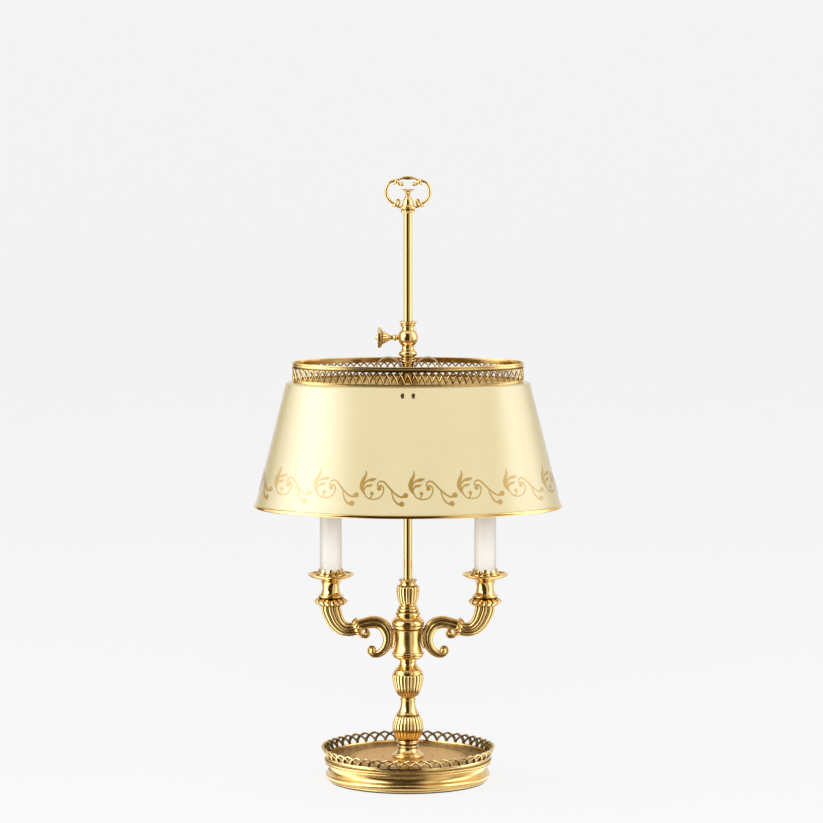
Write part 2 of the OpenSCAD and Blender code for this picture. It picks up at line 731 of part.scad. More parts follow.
module arm() {
    line = [for (p = arm_line) lift(p)];
    radii = [for (p = arm_line) p[2]];
    way = [for (p = smooth(wire_way, 2)) lift(p)];
    color(satin_brass) difference() {
        union() {
            tube(line, radii, 16, flat = arm_flat);
            translate(lift(volute)) sphere(r = volute[2], $fn = 32);
            hull() {
                translate(lift(curl)) sphere(r = curl[2], $fn = 20);
                translate(lift([53, 7.4])) sphere(r = 3, $fn = 20);
            }
            translate([arm_boss_x, 0, join_z]) rotate([0, 90, 0])
                cylinder(r = arm_boss_r, h = nipple_out - arm_boss_x, $fn = 32);
        }
        translate([arm_boss_x - past, 0, join_z]) rotate([0, 90, 0])
            cylinder(r = nipple_r, h = nipple_out - arm_boss_x + past, $fn = 48);
        tube([for (i = [3 : len(way) - 1]) way[i]], [for (i = way) wire_way_r], 10);
    }
}

module arm_nipple() {
    color(steel) translate([nipple_in, 0, join_z]) rotate([0, 90, 0]) turned([
        [wire_way_r, 0], [nipple_r, 0], [nipple_r, nipple_out - nipple_in - 2],
        [wire_way_r, nipple_out - nipple_in - 2]]);
}

module arm_nut() {
    nut_face = sqrt(pow(hub_cavity_r, 2) - pow(arm_nut_r, 2)) - 0.05;
    color(steel) difference() {
        translate([nut_face - arm_nut_t, 0, join_z]) rotate([0, 90, 0])
            cylinder(r = arm_nut_r, h = arm_nut_t, $fn = 6);
        translate([0, 0, join_z]) rotate([0, 90, 0])
            cylinder(r = nipple_r, h = hub_rim_r, $fn = 48);
    }
}

// ---- Candle fittings, drawn for the right-hand side ----

module candle_cup() {
    c = cup_collar_r;
    color(brass) translate([candle_x, 0, 0]) turned(turned_outline(cup_z, cup_h, wire_way_r, concat(
        smooth([[horn_r, 0], [c * 0.72, 0.05], [c * 0.94, 0.14], [c, 0.2], [c * 0.93, 0.27],
            [c * 0.74, 0.33]], 4),
        smooth([[c * 0.66, 0.37], [c * 0.65, 0.42], [c * 0.54, 0.54], [c * 0.51, 0.68],
            [c * 0.54, 0.82], [c * 0.64, 0.93], [c * 0.78, 1]]))));
}

module drip_pan() {
    top = smooth([[pan_r, pan_h], [pan_r * 0.9, pan_h * 0.72], [pan_r * 0.74, pan_t + 1.2],
        [pan_r * 0.58, pan_t]], 4);
    bottom = smooth([[pan_r * 0.5, 0], [pan_r * 0.72, 0.9], [pan_r * 0.9, pan_h * 0.5],
        [pan_r, pan_h - 0.8]], 4);
    color(brass) translate([candle_x, 0, pan_z]) turned(concat(
        [[wire_way_r, 0]], bottom, top, [[wire_way_r, pan_t]]));
}

// Petal cup: a base ring and a flared wall, scalloped into points
module petal_cup() {
    petals = 10;
    foot = sleeve_r + 0.6;
    belly = foot + 3.5;
    tip = sleeve_r + 0.5;
    leaf_t = 0.9;
    notch = 3.6;
    color(brass) translate([candle_x, 0, petal_z]) difference() {
        turned([[wire_way_r, 0], [foot + 1, 0], [belly, petal_h * 0.42], [tip + leaf_t, petal_h],
            [tip, petal_h], [belly - leaf_t, petal_h * 0.42], [foot, petal_base_t],
            [wire_way_r, petal_base_t]]);
        for (i = [0 : petals / 2 - 1])
            rotate([0, 0, (i + 0.5) * 360 / petals]) translate([-belly - past, 0, petal_h])
                rotate([90, 0, 90]) linear_extrude(2 * (belly + past))
                    polygon([[-notch, past], [-notch * 0.5, -petal_h * 0.3],
                        [notch * 0.5, -petal_h * 0.3], [notch, past]]);
    }
}

module candle_sleeve() {
    color(ivory) translate([candle_x, 0, 0]) turned([
        [sleeve_r - sleeve_wall, sleeve_z], [sleeve_r, sleeve_z],
        [sleeve_r, sleeve_top - 1], [sleeve_r - 0.4, sleeve_top],
        [sleeve_r - sleeve_wall, sleeve_top]]);
}

module lampholder() {
    color(ivory) translate([candle_x, 0, 0]) turned([
        [wire_way_r, sleeve_z], [holder_r, sleeve_z], [holder_r, sleeve_z + 3],
        [holder_stem_r, sleeve_z + 3], [holder_stem_r, holder_cup_z], [holder_r, holder_cup_z],
        [holder_r, holder_cup_z + holder_cup_h], [cap_r + free_gap, holder_cup_z + holder_cup_h],
        [cap_r + free_gap, holder_cup_z + holder_floor],
        [wire_way_r, holder_cup_z + holder_floor]]);
}

module bulb_cap() {
    color(brass) translate([candle_x, 0, 0]) turned([
        [0, cap_z], [3, cap_z], [cap_r, cap_z + 3], [cap_r, bulb_z], [0, bulb_z]]);
}

module bulb_glass() {
    color(opal) translate([candle_x, 0, 0]) turned(concat(
        [[0, bulb_z]],
        [for (p = smooth([[cap_r, 0], [cap_r + 0.6, 0.06], [bulb_r * 0.72, 0.2], [bulb_r * 0.96, 0.34],
            [bulb_r, 0.46], [bulb_r * 0.84, 0.64], [bulb_r * 0.5, 0.82], [bulb_r * 0.2, 0.94],
            [0.6, 0.99]], 4)) [p[0], bulb_z + p[1] * bulb_h]],
        [[0, bulb_z + bulb_h]]));
}

// Lead of the right-hand candle: terminal block, tie rod, arm, lampholder
module lead() {
    s = wire_side;
    run = concat(
        [[s, block_y - block_d / 2, wire_z], [s, 30, wire_z], [s, 11, wire_z], [s, 5.5, wire_z + 0.2],
            [s, 1.6, wire_z + 2.2], [s, 0, wire_z + 6.5], [s, 0, 60], [s, 0, 105],
            [s, 0, join_z - 16], [s, 0, join_z - 6], [s + 1.4, 0, join_z - 1.8], [5.4, 0, join_z - 0.2]],
        [for (p = wire_way) lift(p)],
        [[candle_x, 0, sleeve_z - 8], [candle_x, 0, sleeve_z + 20], [candle_x, 0, holder_cup_z]]);
    path = smooth(run, 2);
    color(black) tube(path, [for (p = path) wire_r], 8, [1, 0, 0]);
}

// ---- Slider ----

module guide_bush() {
    slit = 1.2;
    color(ivory) difference() {
        turned([[mast_r + fit, bush_foot], [bush_r, bush_foot], [bush_r, bush_top],
            [mast_r + fit, bush_top]]);
        translate([-slit / 2, 0, bush_foot - past])
            cube([slit, bush_r + past, bush_top - bush_foot + 2 * past]);
    }
}

// Ball with its necks and mouth, tapped on the left for the clamp screw
module slider_collar() {
    n = collar_neck_r;
    ball_turn = asin((n + 0.2) / slider_ball_r);
    color(brass) difference() {
        translate([0, 0, clamp_z]) turned(concat(
            [[collar_bore, -collar_down], [n + 0.4, -collar_down], [n + 0.2, -collar_down + 1.6]],
            arc([0, 0], slider_ball_r, ball_turn - 90, 90 - ball_turn, 20),
            [[n, collar_up - 7.4], [n + 0.1, collar_up - 6.2], [n + 1.4, collar_up - 5.2],
                [n + 1.6, collar_up - 4.2], [n + 1.2, collar_up - 3.2], [n + 1.5, collar_up - 2.4],
                [n + 3, collar_up - 1], [n + 3, collar_up], [collar_bore, collar_up]]));
        translate([-slider_ball_r - past, 0, clamp_z]) rotate([0, 90, 0])
            cylinder(r = screw_r + fit, h = slider_ball_r, $fn = 48);
    }
}

// Torus, rings and flange under the ball, and the nozzle that carries the shade
module slider_base() {
    n = collar_neck_r;
    z = slider_base_top;
    seat_top = bar_top + nozzle_seat_h;
    color(brass) turned(concat(
        [[nozzle_bore, nozzle_foot], [nozzle_r, nozzle_foot], [nozzle_r, bar_top],
            [nozzle_seat_r, bar_top], [nozzle_seat_r, seat_top], [nozzle_r, seat_top + 1],
            [nozzle_r, z - 13.6], [n + 1.4, z - 13], [n + 2.4, z - 12.6], [n + 2.4, z - 11.6],
            [n + 1.2, z - 11]],
        smooth([[n + 1, z - 10.4], [n + 1.8, z - 9.2], [n + 1.1, z - 8.2]], 3),
        arc([n + 0.5, z - 4.2], 3.2, -70, 80, 10),
        [[n + 0.4, z - 0.6], [n + 0.4, z], [collar_bore, z], [collar_bore, bush_foot],
            [nozzle_bore, bush_foot]]));
}

// Places for the screws that hold the shade to the bar, square to the leaning wall
module at_screws() {
    for (side = [0, 1]) mirror([0, side, 0])
        for (s = [-1, 1])
            translate([s * screw_gap / 2, screw_line_y, screw_line_z])
                rotate([shade_lean - 90, 0, 0]) children();
}

// Cross bar under the shoulder, with its ends turned down along the wall
module carrier_bar() {
    reach = strap_x + strap_r + 2;
    bend_in = strip_t * (1 / cos(shade_lean) - tan(shade_lean));
    tab_foot = [tab_y + tab_h * sin(shade_lean), bar_top - tab_h * cos(shade_lean)];
    tab_back = tab_foot - strip_t * [cos(shade_lean), sin(shade_lean)];
    strip = [[-tab_y, bar_top], [-tab_foot[0], tab_foot[1]], [-tab_back[0], tab_back[1]],
        [bend_in - tab_y, bar_z], [tab_y - bend_in, bar_z], tab_back, tab_foot, [tab_y, bar_top]];
    color(brass) difference() {
        union() {
            translate([-bar_w / 2, 0, 0]) rotate([90, 0, 90]) linear_extrude(bar_w) polygon(strip);
            translate([-reach, -strap_w / 2, bar_z]) cube([2 * reach, strap_w, strip_t]);
        }
        translate([0, 0, bar_z - past])
            cylinder(r = nozzle_r + slip, h = strip_t + 2 * past, $fn = round_fn);
        at_screws() translate([0, 0, -6]) cylinder(r = screw_shank_r, h = 6, $fn = 32);
    }
}

// Two arched straps that stand on the bar, one on each side of the nozzle
module carrier_straps() {
    rise = clamp_z - strap_drop - strap_r - bar_top;
    color(brass) for (side = [0, 1]) mirror([side, 0, 0])
        translate([strap_x, strap_w / 2, bar_top + rise]) rotate([90, 0, 0]) difference() {
            union() {
                cylinder(r = strap_r, h = strap_w, $fn = round_fn);
                translate([-strap_r, -rise, 0]) cube([2 * strap_r, rise, strap_w]);
            }
            translate([0, 0, -past])
                cylinder(r = strap_r - strap_t, h = strap_w + 2 * past, $fn = round_fn);
            translate([-strap_r + strap_t, -strap_r - rise, -past])
                cube([2 * (strap_r - strap_t), strap_r + rise, strap_w + 2 * past]);
        }
}

module carrier_nut() {
    color(brass) turned([[nozzle_r, nozzle_foot], [carrier_nut_r - 0.6, nozzle_foot],
        [carrier_nut_r, nozzle_foot + 0.6], [carrier_nut_r, bar_z], [nozzle_r, bar_z]]);
}

// ---- Shade ----

// Flared wall, rolled from sheet
module shade_shell() {
    low = shade_low_z + low_rim_r * cos(22.5);
    low_out = shade_taper - (low - shade_low_z) * shade_slope;
    color(cream) difference() {
        oval_ring(shoulder_a, shoulder_b, [[low_out, low], [0, bend_z], [-shade_wall, bend_z],
            [low_out - shade_wall, low]]);
        at_screws() translate([0, 0, -3]) cylinder(r = screw_shank_r, h = 5, $fn = 32);
    }
}

// Pressed ring soldered on the wall: the rounded shoulder and the turned-in lip
module shade_shoulder() {
    w = shade_wall;
    r = shoulder_round;
    color(cream) oval_ring(shoulder_a, shoulder_b, [[0, bend_z], [-r * 0.12, bend_z + r * 0.5],
        [-r * 0.5, bend_z + r * 0.88], [-r, shoulder_z], [-lip_in, shoulder_z],
        [-lip_in, shoulder_z - w], [-r, shoulder_z - w], [-(r + w) * 0.5, bend_z + r * 0.5],
        [-w, bend_z]]);
}

// An eight-sided tube, as a section round its middle line
function rim_section(out, z, r) = [for (i = [0 : 7]) let (a = 22.5 + 45 * i)
    [out + r * cos(a), z + r * sin(a)]];

module shade_low_rim() {
    color(brass) oval_ring(shade_half_l, shade_half_d,
        rim_section(-shade_wall / 2, shade_low_z, low_rim_r));
}

// Pierced gallery, standing on the lip
module shade_gallery() {
    t = shade_gallery_t;
    h = shade_gallery_h - top_rim_r * cos(22.5);
    band = 3.2;
    outer = [for (i = [0 : shade_arches - 1])
        oval_at(gallery_angle((i + 0.5) * shade_pitch), gallery_a, gallery_b)];
    inner = [for (i = [0 : shade_arches - 1])
        oval_at(gallery_angle((i + 0.5) * shade_pitch), gallery_a - t, gallery_b - t)];
    color(brass) difference() {
        translate([0, 0, shoulder_z]) linear_extrude(h) difference() {
            polygon(outer);
            polygon(inner);
        }
        for (i = [0 : shade_arches - 1]) {
            a = gallery_angle(i * shade_pitch);
            at = oval_at(a, gallery_a, gallery_b);
            out = atan2(at[1] / pow(gallery_b, 2), at[0] / pow(gallery_a, 2));
            translate([at[0], at[1], shoulder_z + band]) rotate([0, 0, out]) rotate([90, 0, 90])
                translate([0, 0, -4 * t]) linear_extrude(6 * t)
                    polygon(pointed_arch(shade_pitch * 0.62, h - band - 2.4));
        }
    }
}

module shade_top_rim() {
    color(brass) oval_ring(gallery_a, gallery_b,
        rim_section(-shade_gallery_t / 2, top_rim_z, top_rim_r));
}

module shade_screws() {
    grip = 5;
    seat = 0.1;
    color(brass) at_screws() turned([[0, -grip], [screw_shank_r, -grip], [screw_shank_r, seat],
        [screw_head_r, seat], [screw_head_r * 0.9, seat + screw_head_h * 0.6],
        [screw_head_r * 0.5, seat + screw_head_h], [0, seat + screw_head_h]]);
}

// ---- Clamp ----

module clamp_pad() {
    color(ivory) translate([-screw_face, 0, clamp_z]) rotate([0, 90, 0])
        cylinder(r = pad_r, h = pad_t, $fn = 32);
}

// Clamp screw: thread, ball neck, fluted trumpet, thumb disc and pip
module thumb_screw() {
    d = thumb_face - thumb_neck;
    disc = thumb_face - thumb_disc_t;
    color(brass) translate([0, 0, clamp_z]) rotate([0, -90, 0]) turned(concat(
        [[0, screw_face], [screw_r, screw_face], [screw_r, thumb_neck]],
        smooth([[2.8, thumb_neck], [3.7, thumb_neck + d * 0.08], [2.8, thumb_neck + d * 0.17],
            [2, thumb_neck + d * 0.24], [3, thumb_neck + d * 0.35], [5.2, thumb_neck + d * 0.52],
            [7.2, thumb_neck + d * 0.74]], 4),
        [[thumb_r * 0.8, disc - 1], [thumb_r * 0.84, disc], [thumb_r, disc + 0.8],
            [thumb_r, thumb_face - 0.5], [thumb_r - 0.6, thumb_face], [2.6, thumb_face],
            [2.8, thumb_face + 1.8], [1.6, thumb_face + 3], [0, thumb_face + 3]]));
}

// ---- Assembly ----

module left() {
    mirror([1, 0, 0]) children();
}

module both_sides() {
    children();
    left() children();
}

felt_pad();
base_plinth();
base_tray();
base_gallery();
ballast_disc();
tie_rod();
tie_nut();
tie_washer();
terminal_block();
cord_gland();
foot_collar();
lower_vase();
vase_neck();
upper_vase();
vase_cap();
hub_foot();
hub_body();
hub_top();
stepped_rings();
fluted_bud();
bud_collar();
mast();
finial_collar();
finial_baluster();
ring_handle();
left() arm();  // arm_left
arm();  // arm_right
both_sides() arm_nipple();  // arm_nipples
both_sides() arm_nut();  // arm_nuts
left() candle_cup();  // candle_cup_left
candle_cup();  // candle_cup_right
left() drip_pan();  // drip_pan_left
drip_pan();  // drip_pan_right
left() petal_cup();  // petal_cup_left
petal_cup();  // petal_cup_right
left() candle_sleeve();  // candle_sleeve_left
candle_sleeve();  // candle_sleeve_right
left() lampholder();  // lampholder_left
lampholder();  // lampholder_right
left() bulb_cap();  // bulb_cap_left
bulb_cap();  // bulb_cap_right
left() bulb_glass();  // bulb_glass_left
bulb_glass();  // bulb_glass_right
left() lead();  // lead_left
lead();  // lead_right
guide_bush();
slider_collar();
slider_base();
carrier_bar();
carrier_straps();
carrier_nut();
shade_shell();
shade_shoulder();
shade_low_rim();
shade_gallery();
shade_top_rim();
shade_screws();
clamp_pad();
thumb_screw();
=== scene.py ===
"""Dresses the frame of a two-light bouillotte lamp: reeded brass column, scrolled arms with
candle fittings, ring-handled mast and an oval enamelled shade with pierced galleries.

Shapes are modelled in millimetres, in the frame's own axes, and scaled to metres when a
piece is finished. Each piece takes its place and size from the frame node it stands for.
"""

import math

import bmesh
import bpy
from mathutils import Matrix, Vector


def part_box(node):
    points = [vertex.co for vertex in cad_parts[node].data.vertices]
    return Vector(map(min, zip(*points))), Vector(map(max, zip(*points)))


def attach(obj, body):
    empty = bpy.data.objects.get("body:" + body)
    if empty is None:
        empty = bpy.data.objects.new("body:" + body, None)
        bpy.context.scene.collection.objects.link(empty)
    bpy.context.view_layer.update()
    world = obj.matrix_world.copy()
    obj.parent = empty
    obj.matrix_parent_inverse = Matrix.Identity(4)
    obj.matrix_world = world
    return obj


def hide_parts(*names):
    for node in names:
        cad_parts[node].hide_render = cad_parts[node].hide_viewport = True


bl_info = {
    "name": "Bouillotte lamp",
    "version": (1, 0, 0),
    "blender": (4, 5, 0),
    "location": "3D View > Sidebar > Lamp",
    "description": "Dresses the frame of a two-light lamp with an oval enamelled shade",
    "category": "Object",
}

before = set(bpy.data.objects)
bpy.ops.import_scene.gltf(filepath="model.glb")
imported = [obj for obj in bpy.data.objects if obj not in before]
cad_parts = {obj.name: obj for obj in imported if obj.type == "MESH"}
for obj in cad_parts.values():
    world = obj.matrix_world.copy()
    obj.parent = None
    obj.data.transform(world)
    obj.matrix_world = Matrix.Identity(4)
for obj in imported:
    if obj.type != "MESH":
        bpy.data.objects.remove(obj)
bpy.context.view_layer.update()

MM = 0.001
TURN = 2 * math.pi
SIDES = (("left", -1), ("right", 1))
MERGE = 0.0005  # points closer than this are one
ROD_BORE, MAST_BORE, WIRE_WAY = 5.1, 5.05, 2.2  # radii of the holes through turned pieces
ROUND, FINE, OVAL_STEPS = 128, 192, 240  # steps in which pieces are turned
RING = 100.0  # radius at which the shade's rings are turned, before they are stretched


# ---- Sizes and colours that a user would change ----

def length(name, text, default):
    """A size in metres, written in millimetres."""
    return bpy.props.FloatProperty(name=name, description=text, default=default * MM,
                                   unit="LENGTH", subtype="DISTANCE", precision=4)


def colour(name, text, default):
    """A linear colour."""
    return bpy.props.FloatVectorProperty(name=name, description=text, default=default,
                                         subtype="COLOR", size=3, min=0, max=1)


def share(name, text, default):
    """A number from 0 to 1."""
    return bpy.props.FloatProperty(name=name, description=text, default=default,
                                   subtype="FACTOR", min=0, max=1)


def number(name, text, default):
    """A whole number of copies."""
    return bpy.props.IntProperty(name=name, description=text, default=default, min=3, max=200)


class LampFinish(bpy.types.PropertyGroup):
    """Colours and polish of the lamp's finishes"""
    polished: colour("Polished brass", "Colour of the polished brass", (0.84, 0.575, 0.2))
    satin: colour("Satin brass", "Colour of the satin brass", (0.79, 0.53, 0.175))
    tray: colour("Tray brass", "Colour of the engraved tray", (0.86, 0.54, 0.20))
    # recess is the dark of the tarnish in the grooves, and also the colour of painted shade on
    # some pieces
    recess: colour("Recess", "Lacquer and polish that darken the grooves", (0.065, 0.036, 0.012))
    polish: share("Polish", "Roughness of the polished brass", 0.12)
    satin_polish: share("Satin", "Roughness of the satin brass", 0.24)
    enamel: colour("Enamel", "Colour of the shade's enamel", (0.765, 0.645, 0.335))
    lining: colour("Lining", "Gold lacquer inside the shade", (0.97, 0.75, 0.35))
    stencil: colour("Stencil", "Gold of the stencilled border", (0.49, 0.285, 0.025))
    ivory: colour("Ivory", "Colour of the candle sleeves", (0.96, 0.945, 0.915))
    felt: colour("Felt", "Colour of the felt under the base", (0.012, 0.02, 0.013))


class LampOrnament(bpy.types.PropertyGroup):
    """Counts and sizes of the ornament"""
    vase_reeds: number("Vase reeds", "Reeds round each vase of the column", 22)
    bud_reeds: number("Bud reeds", "Reeds round the bud over the hub", 16)
    reed_depth: length("Reed depth", "Depth of the channels between the reeds", 1.1)
    horn_reeds: number("Horn reeds", "Reeds round the horn of each arm", 10)
    cup_leaves: number("Cup leaves", "Leaves round the collar of each candle cup", 14)
    petals: number("Petals", "Pointed petals round each candle's foot", 8)
    base_arches: number("Base arches", "Interlaced arches round the base", 48)
    base_strand: length("Base strand", "Width of the base gallery's strands", 2.1)
    shade_arches: number("Shade arches", "Interlaced arches round the shade's gallery", 78)
    shade_strand: length("Shade strand", "Width of the shade gallery's strands", 1.6)
    motifs: number("Stencil motifs", "Leaf scrolls round the shade's stencilled border", 15)
    motif_lift: length("Stencil rise", "Height of the stencil over the shade's lower edge", 11.4)


class LampStage(bpy.types.PropertyGroup):
    """Camera, backdrop and lights"""
    camera_back: length("Distance", "Distance from the mast to the camera", 5700)
    camera_up: length("Height", "Height of the camera over the table", 1077)
    camera_side: length("Sideways", "Offset of the camera to the right", 4)
    camera_tilt: bpy.props.FloatProperty(name="Tilt", description="Tilt of the camera below level",
                                         default=math.radians(6.553), unit="ROTATION",
                                         subtype="ANGLE")
    camera_lens: bpy.props.FloatProperty(name="Lens", description="Focal length in millimetres",
                                         default=222.0)
    backdrop: colour("Backdrop", "Colour of the floor and backdrop", (0.975, 0.975, 0.98))
    light: bpy.props.FloatProperty(name="Light", description="Level of all the lamps together",
                                   default=1.0)


# ---- Shader building ----

class Link:
    """A shader socket that takes part in arithmetic: each operator adds a Math node."""

    def __init__(self, look, socket):
        self.look, self.socket = look, socket

    def maths(operation, swapped=False):
        def operator(self, other):
            first, second = (other, self) if swapped else (self, other)
            return self.look.link(self.look.add("ShaderNodeMath", {"operation": operation},
                                                {0: first, 1: second}))
        return operator

    __add__ = __radd__ = maths("ADD")
    __mul__ = __rmul__ = maths("MULTIPLY")
    __sub__, __rsub__ = maths("SUBTRACT"), maths("SUBTRACT", True)


class Look:
    """The nodes of one material or of the world."""

    def __init__(self, name, owner=None):
        self.material = owner or bpy.data.materials.new(name)
        self.material.use_nodes = True
        self.tree = self.material.node_tree
        self.tree.nodes.clear()

    def add(self, kind, settings=None, sockets=None):
        """Adds a node: its settings are set first, then its sockets' values or links."""
        node = self.tree.nodes.new(kind)
        for key, value in (settings or {}).items():
            if key == "stops":
                self.set_stops(node.color_ramp, value)
            else:
                setattr(node, key, value)
        for key, value in (sockets or {}).items():
            if isinstance(value, Link):
                self.tree.links.new(value.socket, node.inputs[key])
            elif node.inputs[key].type == "RGBA":
                node.inputs[key].default_value = (*value[:3], 1)
            else:
                node.inputs[key].default_value = value
        return node

    @staticmethod
    def set_stops(ramp, stops):
        while len(ramp.elements) < len(stops):
            ramp.elements.new(0.5)
        for element, (place, tone) in zip(ramp.elements, stops):
            element.position = place
            element.color = (tone, tone, tone, 1) if isinstance(tone, float) else (*tone, 1)

    def link(self, node, output=0):
        return Link(self, node.outputs[output])

    def place(self, scale=(1, 1, 1)):
        """Object coordinates in metres, stretched by scale."""
        where = self.link(self.add("ShaderNodeTexCoord"), "Object")
        return self.link(self.add("ShaderNodeMapping", {}, {"Vector": where, "Scale": scale}))

    def noise(self, scale, detail=3.0, stretch=(1, 1, 1), rough=0.5):
        return self.link(self.add("ShaderNodeTexNoise", {}, {
            "Vector": self.place(stretch), "Scale": scale, "Detail": detail, "Roughness": rough}))

    def attribute(self, name):
        return self.link(self.add("ShaderNodeAttribute", {"attribute_name": name}), "Fac")

    def ramp(self, value, start, end):
        """Rises from 0 to 1 while the value goes from start to end."""
        stops = [(start, 0.0), (end, 1.0)]
        return self.link(self.add("ShaderNodeValToRGB", {"stops": stops}, {0: value}))

    def blend(self, factor, first, second):
        """A colour between two colours."""
        return self.link(self.add("ShaderNodeMix", {"data_type": "RGBA"},
                                  {0: factor, 6: first, 7: second}), 2)

    def bump(self, height, distance, strength):
        return self.link(self.add("ShaderNodeBump", {}, {
            "Height": height, "Distance": distance, "Strength": strength}))

    def seen(self, most=1.0):
        """Up to most where the camera, a mirror or glass looks, and 0 for diffuse light."""
        path = self.add("ShaderNodeLightPath")
        camera, gloss, through = (self.link(path, "Is %s Ray" % kind)
                                  for kind in ("Camera", "Glossy", "Transmission"))
        return self.link(self.add("ShaderNodeClamp", {}, {0: (camera + gloss + through) * most}))

    def glow(self, tone):
        return self.link(self.add("ShaderNodeEmission", {}, {"Color": tone, "Strength": 1.0}))

    def surface(self, **sockets):
        """Ends the material in a Principled shader; underscores in names stand for spaces."""
        named = {key.replace("_", " "): value for key, value in sockets.items()}
        return self.output(self.link(self.add("ShaderNodeBsdfPrincipled", {}, named)))

    def output(self, shader, kind="ShaderNodeOutputMaterial"):
        self.add(kind, {}, {"Surface": shader})
        return self.material


# ---- Finishes ----

EDGE_TINT = (0.97, 0.87, 0.66)
BAKED_COAT = {"Coat_Weight": 1.0, "Coat_Roughness": 0.27, "Coat_IOR": 2.0}


def polished_brass(finish):
    """Lacquered cast brass: mirror polish, tarnish in the recesses and painted shade where the
    recess layer marks it, a little unevenness.
    """
    look = Look("polished_brass")
    recess, cloud = look.attribute("recess"), look.noise(34)
    tarnish_and_shade = look.ramp(recess + (cloud - 0.5) * 0.25, 0.12, 0.95)
    worn = look.blend(look.ramp(cloud, 0.35, 0.8) * 0.35, finish.polished, finish.satin)
    return look.surface(
        Base_Color=look.blend(tarnish_and_shade * 0.93, worn, finish.recess), Metallic=1.0,
        Specular_Tint=EDGE_TINT, Coat_Weight=1.0 - tarnish_and_shade * 0.95, Coat_IOR=1.65,
        Coat_Roughness=0.08,
        Roughness=finish.polish + recess * 0.16 + (look.noise(260, 2) - 0.5) * 0.07,
        Normal=look.bump(look.noise(95, 2), 0.00012, 0.55))


def satin_brass(finish):
    """Brushed brass: fine turning lines, with the tarnish of the recesses and painted shade where
    the recess layer marks it.
    """
    look = Look("satin_brass")
    recess = look.attribute("recess")
    grain = look.noise(900, 2, (0.12, 0.12, 2.2))
    tarnish_and_shade = look.ramp(recess + (look.noise(22) - 0.5) * 0.3, 0.1, 0.95)
    base = look.blend(grain * 0.3, finish.satin, finish.polished)
    return look.surface(
        Base_Color=look.blend(tarnish_and_shade * 0.9, base, finish.recess), Metallic=1.0,
        Specular_Tint=EDGE_TINT, Coat_Weight=0.9 - tarnish_and_shade * 0.85, Coat_IOR=1.6,
        Coat_Roughness=0.16, Roughness=finish.satin_polish + (grain - 0.5) * 0.14 + recess * 0.15,
        Normal=look.bump(grain, 0.00002, 0.6))


def tray_brass(finish):
    """The tray: brushed in circles, with a stippled band round the engraved ring."""
    look = Look("tray_brass")
    dots = look.link(look.add("ShaderNodeTexVoronoi", {}, {"Vector": look.place(), "Scale": 330}))
    band, recess = look.attribute("stipple"), look.attribute("recess")
    radius = look.link(look.add("ShaderNodeVectorMath", {"operation": "LENGTH"},
                                {0: look.place((1, 1, 0))}), 1)
    grain = look.link(look.add("ShaderNodeTexNoise", {"noise_dimensions": "1D"},
                               {"W": radius, "Scale": 2600, "Detail": 2.0}))
    tone = look.blend(band * 0.85, finish.tray, (0.56, 0.33, 0.11))
    tone = look.blend(band * dots * 0.9, tone, finish.recess)
    return look.surface(
        Base_Color=look.blend(recess * 0.9, tone, finish.recess), Metallic=0.55,
        Specular_Tint=(0.78, 0.6, 0.34),
        Roughness=finish.satin_polish + 0.06 + band * 0.12 + (grain - 0.5) * 0.12,
        Normal=look.bump(grain * 0.4 + band * dots * 2.5, 0.00008, 0.7))


def even_finish(name, tones, cloud, rough=None, bump=None, stops=None, most=1.0, **rest):
    """A finish that wavers between two tones, with its roughness and bump.

    A noise is (scale, detail, stretch, roughness), and a repeated one is made once. rough is
    (noise, middle, spread), bump is (noise, distance, strength)."""
    look, made = Look(name), {}

    def noise(facts):
        if facts not in made:
            made[facts] = look.noise(*facts)
        return made[facts]

    factor = look.ramp(noise(cloud), *stops) * most if stops else noise(cloud)
    if rough:
        rest["Roughness"] = rough[1] + (noise(rough[0]) - 0.5) * rough[2]
    if bump:
        rest["Normal"] = look.bump(noise(bump[0]), *bump[1:])
    return look.surface(Base_Color=look.blend(factor, *tones), **rest)


def pair(tone, *shares):
    """A tone, and the same tone with its channels multiplied by shares."""
    return tone, [min(1, c * k) for c, k in zip(tone, shares * 3 if len(shares) == 1 else shares)]


LOOKS = {}


def look_named(name):
    """One of the lamp's finishes, which are all made at the first call."""
    if not LOOKS:
        make_looks(bpy.context.scene.lamp_finish)
    return LOOKS[name]


